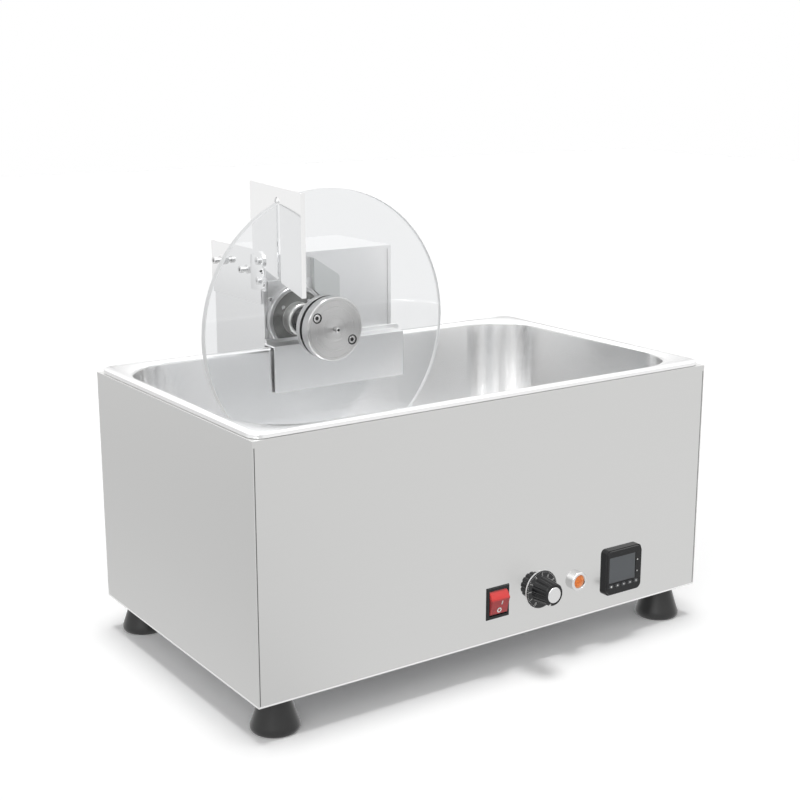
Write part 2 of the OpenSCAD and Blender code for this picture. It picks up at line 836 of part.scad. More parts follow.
// The potentiometer behind the panel and its threaded bushing
module potentiometer() color([0.45, 0.45, 0.47]) translate([dial_x, 0, dial_cz]) difference() {
    union() {
        rod_y(pot_r, panel_in_y, panel_in_y + pot_l);
        rod_y(bushing_r, front_y - bushing_out, panel_in_y + eps);
        block([-5, panel_in_y + 1, -pot_r - 8], [5, panel_in_y + 3, -pot_r + 4]);
    }
    rod_y(dial_shaft_r + run_gap, front_y - bushing_out - eps, panel_in_y + dial_shaft_in + lift_gap);
}

module dial_nut() color(polished) translate([dial_x, front_y - nut_h, dial_cz])
    rotate([-90, 0, 0]) difference() {
        hex(nut_af, nut_h);
        translate([0, 0, -eps]) cylinder(r = bushing_r, h = nut_h + 2 * eps);
    }

module dial_shaft() color(steel) translate([dial_x, 0, dial_cz])
    rod_y(dial_shaft_r, front_y - dial_shaft_out, panel_in_y + dial_shaft_in);

// The fluted knob: a collar behind the skirt and a tapered grip before it
module dial_knob() color(black) translate([dial_x, 0, dial_cz]) difference() {
    skirt_y = front_y - collar_l;
    tip_y = front_y - dial_out + 1;
    turned_y([
        [0, tip_y],
        [grip_tip_d / 2 - 1, tip_y],
        [grip_tip_d / 2, tip_y + 1],
        [dial_grip_d / 2, skirt_y - skirt_t],
        [dial_cap_d / 2, skirt_y - skirt_t],
        [dial_cap_d / 2, skirt_y],
        [dial_collar_d / 2, skirt_y],
        [dial_collar_d / 2, front_y - lift_gap],
        [0, front_y - lift_gap]
    ]);
    for (i = [0 : collar_flutes - 1]) rotate([0, i * 360 / collar_flutes, 0])
        translate([dial_collar_d / 2 + 0.5, 0, 0]) rod_y(flute_r, skirt_y - eps, front_y + eps);
    for (i = [0 : grip_flutes - 1]) rotate([0, i * 360 / grip_flutes, 0])
        translate([dial_grip_d / 2 + 0.6, skirt_y - skirt_t, 0])
            rotate([0, 0, -grip_taper]) rod_y(flute_r, -grip_l - 4 * eps, eps);
    rod_y(knob_hollow_r, front_y - knob_hollow_l, front_y + eps);
    rod_y(dial_shaft_r, front_y - dial_shaft_out, front_y + eps);
    rod_y(dial_cap_d / 2 - 1, tip_y - eps, tip_y + 0.6);
}

// The graduated skirt, held between the collar and the grip
module dial_skirt() color([0.2, 0.2, 0.2]) translate([dial_x, 0, dial_cz]) {
    skirt_y = front_y - collar_l;
    turned_y([
        [dial_cap_d / 2, skirt_y - skirt_t],
        [dial_skirt_d / 2 - 1, skirt_y - skirt_t],
        [dial_skirt_d / 2, skirt_y - skirt_t + 0.7],
        [dial_skirt_d / 2, skirt_y],
        [dial_cap_d / 2, skirt_y]
    ]);
}

module dial_cap() color(polished) translate([dial_x, 0, dial_cz]) {
    tip_y = front_y - dial_out + 1;
    turned_y([
        [0, tip_y - 1],
        [dial_cap_d / 2 - 0.6, tip_y - 1],
        [dial_cap_d / 2, tip_y - 0.5],
        [dial_cap_d / 2, tip_y],
        [dial_cap_d / 2 - 1, tip_y],
        [dial_cap_d / 2 - 1, tip_y + 0.6],
        [0, tip_y + 0.6]
    ]);
}

// A switched-mode supply in a vented case
module power_supply() color(steel) translate([supply_x, supply_y, deck_z]) difference() {
    l = supply_size[0];
    d = supply_size[1];
    h = supply_size[2];
    block([-l / 2, -d / 2, 0], [l / 2, d / 2, h]);
    block([-l / 2 - eps, -d / 2 - eps, supply_tray_h], [-l / 2 + supply_tray_w, d / 2 + eps, h + eps]);
    for (i = [-3 : 4]) translate([(i + 0.5) * supply_slot_pitch + supply_tray_w / 2, 0, h - supply_slot_d])
        block([-supply_slot_w / 2, -d / 3, 0], [supply_slot_w / 2, d / 3, supply_slot_d + eps]);
}

// The solid-state relay on its metal foot
module relay() color([0.25, 0.27, 0.3]) translate([relay_x, relay_y, deck_z]) difference() {
    w = relay_size[0];
    d = relay_size[1];
    union() {
        block([-relay_foot_w / 2, -d / 2, 0], [relay_foot_w / 2, d / 2, relay_foot_h]);
        block([-w / 2, -d / 2, relay_foot_h - eps], [w / 2, d / 2, relay_size[2]]);
    }
    for (sx = [-1, 1]) translate([sx * relay_hole_x, 0, -eps])
        cylinder(r = relay_hole_r, h = relay_foot_h + 2 * eps);
}

// A six-way terminal block near the mains entry
module terminal_block() color([0.9, 0.9, 0.86]) translate([block_x, block_y, deck_z]) difference() {
    l = block_size[0];
    d = block_size[1];
    h = block_size[2];
    block([-l / 2, -d / 2, 0], [l / 2, d / 2, h]);
    block([-l / 2 - eps, -d / 2 - eps, block_step_h], [l / 2 + eps, -d / 2 + block_step_d, h + eps]);
    for (i = [-3 : 2]) translate([(i + 0.5) * block_pitch, 0, block_step_h - eps]) {
        cylinder(r = block_screw_r, h = h);
        rod_y(block_wire_r, -d / 2 - eps, d / 2 + eps);
    }
}

// A cable gland along Z whose flange lies on z = 0 and whose thread goes down
module gland(thread_l) {
    difference() {
        union() {
            translate([0, 0, -thread_l]) cylinder(r = gland_thread_r, h = thread_l + eps);
            hex(gland_hex_af, gland_nut_h);
            translate([0, 0, gland_nut_h]) rotate_extrude() polygon([
                [0, 0],
                [gland_hex_af / 2 - 0.5, 0],
                [gland_hex_af / 2 - 0.5, gland_dome_l - 5],
                [gland_hex_af / 2 - 3.5, gland_dome_l],
                [0, gland_dome_l]
            ]);
            translate([0, 0, -thread_l + 1]) hex(gland_hex_af - 1, gland_inner_nut_h);
        }
        translate([0, 0, -thread_l - eps])
            cylinder(r = gland_bore_r, h = thread_l + gland_nut_h + gland_dome_l + 2 * eps);
    }
}
module cable_gland() color(black) translate([gland_x, rear_y, gland_z]) rotate([-90, 0, 0])
    gland(sheet_t + gland_thread_in);
module unit_gland() color(black) translate([unit_gland_x, unit_gland_y, box_bottom]) rotate([180, 0, 0])
    gland(mount_t + gland_thread_in);

// The deep-drawn pan: rolled mouth, sloping walls, round floor and folded rim
module pan() color(polished) {
    edge_r = 1.5;
    shell = concat(
        [[pan_corner_r + pan_lip_r + 1, rim_z]],
        pan_line(0),
        [for (i = [len(pan_line(pan_t)) - 1 : -1 : 0]) pan_line(pan_t)[i]],
        [[pan_corner_r + pan_lip_r + 1, rim_z - pan_t]]
    );
    fold = concat(
        [[rim_corner_r - edge_r - 1, rim_z - pan_t], [rim_corner_r - edge_r - 1, rim_z]],
        arc(rim_corner_r - edge_r, rim_z - edge_r, edge_r, 90, 0, 3),
        [
            [rim_corner_r, rim_z - rim_skirt],
            [rim_corner_r - pan_t, rim_z - rim_skirt],
            [rim_corner_r - pan_t, rim_z - pan_t]
        ]
    );
    swept_rim(mouth_w, mouth_d, pan_corner_r, shell);
    translate([0, 0, pan_floor_z - pan_t]) linear_extrude(pan_t)
        square([mouth_w - 2 * pan_corner_r, mouth_d - 2 * pan_corner_r], center = true);
    translate([0, 0, rim_z - pan_t]) rounded_ring(
        rim_width - 2 * edge_r, rim_depth - 2 * edge_r, rim_corner_r - edge_r,
        mouth_w + 2 * pan_lip_r, mouth_d + 2 * pan_lip_r, pan_corner_r + pan_lip_r, pan_t
    );
    swept_rim(rim_width, rim_depth, rim_corner_r, fold);
}

// The saddle: a leg inside the pan, a web over the rim and a bar by the box
module saddle_plate() color(steel) {
    block(
        [saddle_x0, saddle_leg_y, rim_z - saddle_drop],
        [saddle_x1, saddle_leg_y + saddle_t, saddle_top]
    );
    block([saddle_x0, saddle_leg_y, saddle_z], [saddle_x1, box_f, saddle_top]);
    translate([0, box_f, saddle_top]) rotate([90, 0, 0]) linear_extrude(bar_d) polygon([
        [box_x0, 0],
        [bar_x1 - 2, 0],
        [bar_x1, 1],
        [bar_x1 - bar_chamfer, bar_h],
        [box_x0, bar_h]
    ]);
    block([saddle_x1 - eps, box_f - bar_d, saddle_z], [bar_x1 - 2, box_f, saddle_top]);
}

// The front wall and floor of the motor box in one folded sheet
module mount_plate() color(steel) difference() {
    x0 = box_x0 + cover_t;
    x1 = box_x1 - cover_t;
    union() {
        block([x0, box_f, box_bottom], [x1, box_f + mount_t, box_top - cover_t]);
        block([x0, box_f, box_bottom], [x1, back_f, box_bottom + mount_t]);
    }
    at_axis() rod_y(spigot_r + screw_gap, box_f - eps, box_f + mount_t + eps);
    translate([unit_gland_x, unit_gland_y, box_bottom - eps])
        cylinder(r = gland_thread_r + screw_gap, h = mount_t + 2 * eps);
}

// The cover: top and two sides with lips folded in at front and rear
module motor_cover() color(steel) difference() {
    union() {
        block([box_x0, box_f - cover_t, bar_top + lift_gap], [box_x1, box_f + eps, box_top]);
        block([box_x0, box_f, box_bottom], [box_x1, box_b, box_top]);
    }
    block([box_x0 + cover_t, box_f, box_bottom - eps], [box_x1 - cover_t, box_b - cover_t, box_top - cover_t]);
    block([box_x0 + cover_lip, box_f - 2 * cover_t, base_z], [box_x1 - cover_lip, box_f + eps, box_top - cover_lip]);
    block([box_x0 + back_lip, box_b - 2 * cover_t, base_z], [box_x1 - back_lip, box_b + eps, box_top - back_lip]);
    at_bolts() rod_x(bolt_r + screw_gap, box_x0 - eps, box_x0 + cover_t + eps);
    at_cover_screws() rod_y(cover_screw_r + screw_gap, box_b - cover_t - eps, box_b + eps);
}

module at_cover_screws() {
    for (x = [box_x0 + back_lip / 2, box_x1 - back_lip / 2], k = [0.15, 0.5, 0.85])
        translate([x, 0, box_bottom + k * (box_top - box_bottom)]) children();
}

// The rear wall of the motor box, with air slots
module back_panel() color(steel) difference() {
    block(
        [box_x0 + cover_t, back_f, box_bottom],
        [box_x1 - cover_t, box_b - cover_t, box_top - cover_t]
    );
    for (i = [0 : back_vent_count - 1])
        translate([box_mid_x, 0, axis_z + (i - (back_vent_count - 1) / 2) * back_vent_pitch])
            block([-35, back_f - eps, -1.5], [35, box_b, 1.5]);
    at_cover_screws() rod_y(cover_screw_r + screw_gap, back_f - eps, box_b);
}

module cover_screws() color(polished) at_cover_screws() {
    rod_y(cover_screw_r, back_f - 3, box_b + eps / 2);
    rod_y(2 * cover_screw_r, box_b, box_b + cover_head_h);
}

// The worm gearbox: a ribbed cast block on the shaft
module gearbox() color([0.62, 0.63, 0.64]) {
    y0 = box_f + mount_t;
    y1 = y0 + gear_l;
    at_axis() difference() {
        union() {
            block([-gear_w / 2, y0, -gear_h / 2], [gear_w / 2, y0 + 5, gear_h / 2]);
            block([-gear_w / 2 + 4, y0, -gear_h / 2 + 3], [gear_w / 2 - 3, y1 - 3, gear_h / 2 - 3]);
            rod_y(24, y0, y1);
            translate([0, motor_y, -worm_drop]) rod_x(19, -gear_w / 2, gear_w / 2);
            for (x = [-20 : 10 : 20]) block([x - 1, y0 + 8, 0], [x + 1, y1 - 6, gear_h / 2]);
        }
        rod_y(shaft_r + run_gap, y0 - eps, shaft_b + lift_gap);
    }
}

// The motor: a can with an end bell, lying across the box
module motor() color([0.2, 0.21, 0.22]) translate([wheel_x + gear_w / 2, motor_y, motor_z]) {
    rod_x(motor_r - 5, 0, 4);
    rod_x(motor_r, 4, motor_l - 14);
    rod_x(motor_r - 2, motor_l - 14, motor_l);
}

// The plate behind the bearing, square on the left and cut back on the right
module bearing_plate() color(steel) difference() {
    translate([0, box_f, 0]) rotate([90, 0, 0]) linear_extrude(plate_t) polygon([
        [box_x0 + cover_lip + 0.5, bar_top],
        [guard_x1, bar_top],
        [guard_x1, plate_top_z - 3],
        [guard_x1 - 3, plate_top_z],
        [box_x0 + cover_lip + 0.5, plate_top_z]
    ]);
    at_axis() {
        rod_y(spigot_r + screw_gap, plate_f - eps, box_f + eps);
        at_plate_screws() rod_y(1.5 + screw_gap, plate_f - eps, box_f + eps);
    }
}

module at_plate_screws() {
    for (a = [72, 143, 343]) translate([plate_screw_r * cos(a), 0, plate_screw_r * sin(a)]) children();
}

// Cuts what stands in front of the box flat where it meets the saddle's bar
module above_bar() {
    difference() {
        children();
        block([box_x0, plate_f - ring_l - eps, base_z], [box_x1, box_f, bar_top]);
    }
}

// The bright ring that frames the bearing flange
module bearing_ring() color(polished) above_bar() at_axis() turned_y([
    [ring_ri, plate_f - ring_l + 1],
    [ring_ri + 1, plate_f - ring_l],
    [ring_ro - 1, plate_f - ring_l],
    [ring_ro, plate_f - ring_l + 1],
    [ring_ro, plate_f],
    [ring_ri, plate_f]
]);

// The bearing housing: flange, neck and spigot on one axis
module bearing_housing() color(dark_steel) above_bar() at_axis() difference() {
    turned_y([
        [shaft_r + run_gap, neck_f + seal_t],
        [seal_r, neck_f + seal_t],
        [seal_r, neck_f],
        [neck_r - neck_chamfer, neck_f],
        [neck_r, neck_f + neck_chamfer],
        [neck_r, flange_f],
        [flange_r - 0.8, flange_f],
        [flange_r, flange_f + 0.8],
        [flange_r, plate_f],
        [spigot_r, plate_f],
        [spigot_r, box_f + mount_t],
        [shaft_r + run_gap, box_f + mount_t]
    ]);
    at_flange_screws() rod_y(1.2 + screw_gap, flange_f - eps, plate_f + eps);
}

module at_flange_screws() {
    for (a = [142, 52, -38]) translate([flange_screw_r * cos(a), 0, flange_screw_r * sin(a)]) children();
}

module shaft_seal() color(rubber) at_axis() turned_y([
    [shaft_r + lift_gap, neck_f + 0.8],
    [shaft_r + 2, neck_f + 0.4],
    [seal_r, neck_f + 0.4],
    [seal_r, neck_f + seal_t],
    [shaft_r + lift_gap, neck_f + seal_t]
]);

// Small screws in the bearing flange and in the plate behind it
module bearing_screws() color(polished) at_axis() {
    at_flange_screws() {
        rod_y(1.2, flange_f - eps / 2, plate_f);
        rod_y(2.1, flange_f - 1.4, flange_f);
    }
    at_plate_screws() {
        rod_y(1.5, plate_f - eps / 2, box_f);
        rod_y(plate_head_r, plate_f - 1.6, plate_f);
    }
}

// Outline of the splash guard, made smaller by g, down to a level
function guard_line(g, low) = concat(
    [[guard_x0 + g, low], [guard_x1 - g, low]],
    arc(guard_x1 - guard_corner_r, guard_side_z, guard_corner_r - g, 0, 55, 4),
    [[guard_x0 + g, guard_top_z - 1.8 * g]]
);

// The splash guard right of the hub: a shallow tray on the box, open below
module drip_guard() color(steel) difference() {
    translate([0, box_f, 0]) rotate([90, 0, 0])
        linear_extrude(guard_out) polygon(guard_line(0, bar_top));
    translate([0, box_f + eps, 0]) rotate([90, 0, 0])
        linear_extrude(guard_out + eps - guard_t) polygon(guard_line(guard_t, bar_top - eps));
    block([guard_x0 - eps, plate_f, base_z], [guard_x1 + eps, box_f + eps, plate_top_z]);
    at_axis() rod_y(ring_ro + 2 * screw_gap, box_f - guard_out - eps, box_f + eps);
}

// The bracket: a side plate on the box, a joggle and two round ears
module scraper_bracket() color(steel) difference() {
    out_x = scraper_lo - bracket_t;
    in_x = box_x0 - bracket_t;
    low_z = ear_low_z - ear_r;
    union() {
        translate([0, 0, bracket_z0]) linear_extrude(bracket_z1 - bracket_z0)
            square_between([in_x, joggle_y], [box_x0, bracket_y1]);
        translate([0, 0, low_z]) linear_extrude(bracket_z1 - low_z) polygon([
            [box_x0, joggle_y + eps],
            [in_x, joggle_y + eps],
            [in_x, joggle_y],
            [out_x, joggle_y0],
            [out_x, ear_y],
            [scraper_lo, ear_y],
            [scraper_lo, joggle_y0 - 1],
            [box_x0, joggle_y - 1]
        ]);
        at_ears() rod_x(ear_r, out_x, scraper_lo);
    }
    at_ears() rod_x(ear_screw_r + screw_gap, out_x - eps, scraper_lo + eps);
    at_bolts() rod_x(bolt_r + screw_gap, in_x - eps, box_x0 + eps);
}

module square_between(a, b) {
    translate(a) square(b - a);
}

module at_bolts() {
    for (p = bolt_places) translate([0, p[0], p[1]]) children();
}

module at_ears() {
    for (k = [0, 1]) translate([0, ear_y, ear_low_z + k * ear_pitch]) children();
}

// Two long bolts with their nuts on the side of the box
module bracket_bolts() color(polished) at_bolts() translate([box_x0 - bracket_t, 0, 0]) {
    difference() {
        union() {
            rod_x(bolt_r, -bolt_out, bracket_t + cover_t + bolt_in);
            rod_x(bolt_head_r, -bolt_out, -bolt_out + bolt_head_l);
            rotate([0, -90, 0]) hex(bolt_nut_af, bolt_nut_h);
            translate([bracket_t + cover_t, 0, 0]) rotate([0, 90, 0]) hex(bolt_nut_af, bolt_nut_h);
        }
        translate([-bolt_out - eps, 0, 0]) rotate([0, 90, 0]) hex(bolt_socket_af, bolt_socket_h + eps);
    }
}

// The scraper: a tall plate, slotted from below, that straddles the wheel
module scraper_plate() color(polished) difference() {
    union() {
        translate([scraper_lo, 0, 0]) rotate([90, 0, 90]) linear_extrude(scraper_t) polygon([
            [scraper_y0, edge_front_z],
            [ear_y - ear_r + 2, edge_rear_z],
            [tail_y, tail_z],
            [scraper_y1, tail_z],
            [scraper_y1, scraper_top_z],
            [scraper_y0, scraper_top_z - scraper_slope]
        ]);
        block(
            [scraper_lo, scraper_y0, edge_front_z],
            [scraper_lo + hem_w + scraper_t, scraper_y0 + scraper_t, scraper_top_z - scraper_slope]
        );
    }
    translate([0, wheel_y, slot_top_z]) rod_x(slot_w / 2, scraper_lo - eps, scraper_hi + eps);
    block(
        [scraper_lo - eps, wheel_y - slot_w / 2, edge_front_z - eps],
        [scraper_hi + eps, wheel_y + slot_w / 2, slot_top_z]
    );
    at_ears() rod_x(ear_screw_r + screw_gap, scraper_lo - eps, scraper_hi + eps);
}

// The screws that clamp the scraper to the bracket's ears
module scraper_screws() color(polished) at_ears() {
    head_x = scraper_lo - bracket_t;
    difference() {
        union() {
            rod_x(ear_head_r, head_x - ear_head_l, head_x);
            rod_x(ear_screw_r, head_x - eps, scraper_hi + 5);
            translate([scraper_hi, 0, 0]) rotate([0, 90, 0]) hex(ear_nut_af, ear_nut_h);
        }
        translate([head_x - ear_head_l - eps, 0, 0]) rotate([0, 90, 0]) hex(2.5, 1.2 + eps);
    }
}

// The shaft: a hub through the wheel and a thicker journal behind it
module drive_shaft() color(steel) at_axis() turned_y([
    [0, wheel_f],
    [hub_r, wheel_f],
    [hub_r, disc_b],
    [shaft_r, disc_b],
    [shaft_r, shaft_b - 1],
    [shaft_r - 1, shaft_b],
    [0, shaft_b]
]);

module rear_disc() color(steel) at_axis() difference() {
    turned_y([
        [hub_r + run_gap, disc_f],
        [disc_r, disc_f],
        [disc_r, disc_b - 1],
        [disc_r - 1, disc_b],
        [hub_r + run_gap, disc_b]
    ]);
    at_clamps() rod_y(clamp_screw_r, disc_f - eps, disc_b + eps);
}

// The clear wheel that lifts the chocolate
module coating_wheel() color([0.9, 0.95, 0.97, 0.3]) at_axis() difference() {
    turned_y([
        [hub_r + run_gap, wheel_f],
        [wheel_r - 0.6, wheel_f],
        [wheel_r, wheel_f + 0.6],
        [wheel_r, wheel_b - 0.6],
        [wheel_r - 0.6, wheel_b],
        [hub_r + run_gap, wheel_b]
    ]);
    at_clamps() rod_y(clamp_screw_r + screw_gap, wheel_f - eps, wheel_b + eps);
}

// The brushed cap with its two counterbores
module front_cap() color(steel) at_axis() difference() {
    turned_y([
        [pin_r + run_gap, cap_f],
        [cap_r - 1, cap_f],
        [cap_r, cap_f + 1],
        [cap_r, cap_b],
        [pin_r + run_gap, cap_b]
    ]);
    at_clamps() {
        rod_y(clamp_screw_r + screw_gap, cap_f - eps, cap_b + eps);
        rod_y(clamp_pocket_r, cap_f - eps, cap_f + clamp_pocket_h);
    }
}

module cap_screws() color([0.3, 0.3, 0.31]) at_axis() at_clamps() {
    seat_y = cap_f + clamp_pocket_h;
    difference() {
        union() {
            rod_y(clamp_head_r, seat_y - clamp_head_h, seat_y);
            rod_y(clamp_screw_r, seat_y - eps, disc_b - 0.5);
        }
        translate([0, seat_y - clamp_head_h - eps, 0]) rotate([-90, 0, 0]) hex(4, 2.5 + eps);
    }
}

module centre_pin() color(polished) at_axis() turned_y([
    [0, cap_f - pin_out],
    [pin_r - pin_chamfer, cap_f - pin_out],
    [pin_r, cap_f - pin_out + pin_chamfer],
    [pin_r, wheel_f],
    [0, wheel_f]
]);

// Puts the origin on the floor under the middle of the object
module place() {
    translate([0, -mid_y, 0]) children();
}

place() housing_shell();
place() base_panel();
place() rim_gasket();
place() heating_well();
place() heater_mat();
place() insulation_pad();
place() heat_shield();
place() temperature_probe();
place() foot_front_left();
place() foot_front_right();
place() foot_rear_left();
place() foot_rear_right();
place() foot_screws();
place() base_screws();
place() switch_frame();
place() lamp_bezel();
place() lamp_lens();
place() controller_case();
place() controller_window();
place() potentiometer();
place() dial_nut();
place() power_supply();
place() relay();
place() terminal_block();
place() cable_gland();
place() switch_rocker();
place() controller_key_1();
place() controller_key_2();
place() controller_key_3();
place() controller_key_4();
place() controller_key_5();
place() pan();
place() saddle_plate();
place() mount_plate();
place() motor_cover();
place() back_panel();
place() cover_screws();
place() gearbox();
place() motor();
place() bearing_plate();
place() bearing_ring();
place() bearing_housing();
place() shaft_seal();
place() bearing_screws();
place() drip_guard();
place() scraper_bracket();
place() bracket_bolts();
place() scraper_plate();
place() scraper_screws();
place() unit_gland();
place() drive_shaft();
place() rear_disc();
place() coating_wheel();
place() front_cap();
place() cap_screws();
place() centre_pin();
place() dial_knob();
place() dial_skirt();
place() dial_cap();
place() dial_shaft();
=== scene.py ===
import json
import math

import bmesh
import bpy
from mathutils import Matrix, Vector

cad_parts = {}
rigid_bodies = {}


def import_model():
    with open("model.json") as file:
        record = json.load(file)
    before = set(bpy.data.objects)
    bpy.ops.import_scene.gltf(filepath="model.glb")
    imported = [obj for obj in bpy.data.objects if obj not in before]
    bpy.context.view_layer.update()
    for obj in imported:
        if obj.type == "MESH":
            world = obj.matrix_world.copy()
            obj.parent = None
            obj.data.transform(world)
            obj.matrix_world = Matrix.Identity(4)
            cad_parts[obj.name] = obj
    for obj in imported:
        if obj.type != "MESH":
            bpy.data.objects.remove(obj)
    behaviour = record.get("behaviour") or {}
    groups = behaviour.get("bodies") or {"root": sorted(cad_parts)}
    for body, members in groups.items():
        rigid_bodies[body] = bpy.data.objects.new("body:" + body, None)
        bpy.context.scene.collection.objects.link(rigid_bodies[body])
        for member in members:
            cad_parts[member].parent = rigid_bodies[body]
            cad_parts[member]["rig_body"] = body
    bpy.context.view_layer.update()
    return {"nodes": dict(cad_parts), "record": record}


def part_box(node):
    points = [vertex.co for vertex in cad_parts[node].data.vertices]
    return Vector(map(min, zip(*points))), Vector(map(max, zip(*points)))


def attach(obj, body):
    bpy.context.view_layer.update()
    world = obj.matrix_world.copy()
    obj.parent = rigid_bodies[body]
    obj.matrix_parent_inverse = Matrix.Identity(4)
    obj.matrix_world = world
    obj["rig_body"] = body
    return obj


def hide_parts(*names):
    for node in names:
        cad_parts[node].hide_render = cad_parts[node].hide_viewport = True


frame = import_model()
cadNodes = frame["nodes"]
slotOfNode = {part["node"]: part["material_slot"] for part in frame["record"]["subparts"]}
mm = 0.001
white = (1, 1, 1, 1)
print("frame loaded:", len(cadNodes), "nodes")

# The photograph looks from the front left, a little above the pan's rim; places in metres
cameraPlace = {
    "location": (-0.7932, -1.18695, 0.5789),
    "direction": (0.55095, 0.80073, -0.23514),
    "lens": 62.75,
    "sensorWidth": 36.0,
    "nearClip": 0.02,
}


def addCamera():
    data = bpy.data.cameras.new("photoCamera")
    data.lens = cameraPlace["lens"]
    data.sensor_width = cameraPlace["sensorWidth"]
    data.clip_start = cameraPlace["nearClip"]
    camera = bpy.data.objects.new("photoCamera", data)
    camera.location = cameraPlace["location"]
    camera.rotation_euler = Vector(cameraPlace["direction"]).to_track_quat("-Z", "Y").to_euler()
    bpy.context.scene.collection.objects.link(camera)
    bpy.context.scene.camera = camera


addCamera()
print("camera placed")


def middle(node):
    low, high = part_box(node)
    return (low + high) / 2


# A colour written as sRGB hex, turned into the linear values that a shader takes
def srgb(text):
    parts = [int(text[i:i + 2], 16) / 255 for i in (0, 2, 4)]
    linear = [v / 12.92 if v <= 0.04045 else ((v + 0.055) / 1.055) ** 2.4 for v in parts]
    return tuple(linear) + (1.0,)


def addNode(tree, kind, settings=None, links=None):
    node = tree.nodes.new(kind)
    for key, value in (settings or {}).items():
        if isinstance(key, str) and hasattr(node, key):
            setattr(node, key, value)
        else:
            node.inputs[key].default_value = value
    for key, source in (links or {}).items():
        tree.links.new(source, node.inputs[key])
    return node


# Arithmetic on numbers: the settings and links name the inputs by their place, 0 and 1
def calc(tree, operation, settings=None, links=None):
    return addNode(tree, "ShaderNodeMath", {"operation": operation, **(settings or {})}, links).outputs[0]


# The same on vectors; an operation that gives a number has it at the output Value
def calcVector(tree, operation, settings=None, links=None, output="Vector"):
    made = addNode(tree, "ShaderNodeVectorMath", {"operation": operation, **(settings or {})}, links)
    return made.outputs[output]


def objectPlace(tree):
    return addNode(tree, "ShaderNodeTexCoord").outputs["Object"]


def vary(tree, factor, low, high):
    ranged = addNode(tree, "ShaderNodeMapRange", {"To Min": low, "To Max": high}, {"Value": factor})
    return ranged.outputs[0]


def tint(tree, factor, dark, light):
    mixed = addNode(tree, "ShaderNodeMix", {"data_type": "RGBA", 6: srgb(dark), 7: srgb(light)}, {0: factor})
    return mixed.outputs[2]


def startMaterial(name, color, settings):
    made = bpy.data.materials.new(name)
    made.use_nodes = True
    tree = made.node_tree
    shader = tree.nodes["Principled BSDF"]
    shader.inputs["Base Color"].default_value = srgb(color)
    for key, value in settings.items():
        shader.inputs[key].default_value = value
    return made, tree, shader


def startMetal(name, color, roughness, anisotropic=0.0):
    settings = {"Metallic": 1.0, "Roughness": roughness, "Anisotropic": anisotropic}
    return startMaterial(name, color, settings)


# Zinc-coated sheet and other metal without a pattern of its own
def plainMetal(name, color, roughness):
    return startMetal(name, color, roughness)[0]


# Steel sheet with the lines of the belt or the brush, of this width and length in mm:
# the housing has a satin finish with long level lines, soft and cool,
# bent plates are brushed up and down, and the scraper's plates are polished until they
# double the wheel's edge and the screws
alongX, alongZ = 0, 2
sheetLook = {
    "satinStainlessSheet": {
        "color": "d8d8d7", "darkLine": "d7d7d6", "lightLine": "d9d9d8", "smooth": 0.4, "rough": 0.44,
        "lineWidth": 1.2, "lineLength": 160, "along": alongX,
    },
    "brushedStainlessPlate": {
        "color": "f2f2f2", "smooth": 0.27, "rough": 0.36, "lineWidth": 1.0, "lineLength": 60, "along": alongZ,
    },
    "mirrorStainlessPlate": {
        "color": "f0f0f0", "smooth": 0.05, "rough": 0.12, "lineWidth": 1.0, "lineLength": 60, "along": alongZ,
    },
}


def streaks(tree, width, length, along):
    wide = 1 / (width * mm)
    scale = [wide, wide, wide]
    scale[along] = 1 / (length * mm)
    mapped = addNode(tree, "ShaderNodeMapping", {"Scale": scale}, {"Vector": objectPlace(tree)})
    noise = addNode(
        tree, "ShaderNodeTexNoise", {"Scale": 1.0, "Detail": 2.0}, {"Vector": mapped.outputs[0]}
    )
    return noise.outputs[0]


def linedSheet(name):
    look = sheetLook[name]
    made, tree, shader = startMetal(name, look["color"], look["smooth"])
    lines = streaks(tree, look["lineWidth"], look["lineLength"], look["along"])
    if "darkLine" in look:
        tree.links.new(tint(tree, lines, look["darkLine"], look["lightLine"]), shader.inputs["Base Color"])
    tree.links.new(vary(tree, lines, look["smooth"], look["rough"]), shader.inputs["Roughness"])
    return made


# Stainless drawn in a press and polished: bright, with reflections that soften in slow clouds
panLook = {
    "color": "f6f6f6",
    "smooth": 0.16,
    "rough": 0.26,
    "cloudsPerMetre": 9.0,
}


def drawnPan():
    made, tree, shader = startMetal("polishedDrawnStainless", panLook["color"], panLook["smooth"])
    cloud = addNode(
        tree, "ShaderNodeTexNoise", {"Scale": panLook["cloudsPerMetre"], "Detail": 1.0},
        {"Vector": objectPlace(tree)}
    )
    gloss = vary(tree, cloud.outputs[0], panLook["smooth"], panLook["rough"])
    tree.links.new(gloss, shader.inputs["Roughness"])
    return made


# The direction and the distance from an axis that runs along Y through this centre
def fromAxis(tree, centre):
    offset = calcVector(tree, "SUBTRACT", {1: (centre.x, 0, centre.z)}, {0: objectPlace(tree)})
    flat = calcVector(tree, "MULTIPLY", {1: (1, 0, 1)}, {0: offset})
    return flat, calcVector(tree, "LENGTH", links={0: flat}, output="Value")


# 1 further than this radius in mm from the axis, and 0 nearer
def beyond(tree, centre, radius):
    return calc(tree, "GREATER_THAN", {1: radius * mm}, {0: fromAxis(tree, centre)[1]})


# Steel turned on a lathe: rings round the axis that spread light into two wedges
turnedLook = {
    "ringPitch": 0.9,
    "roughnessSpan": 0.06,
}


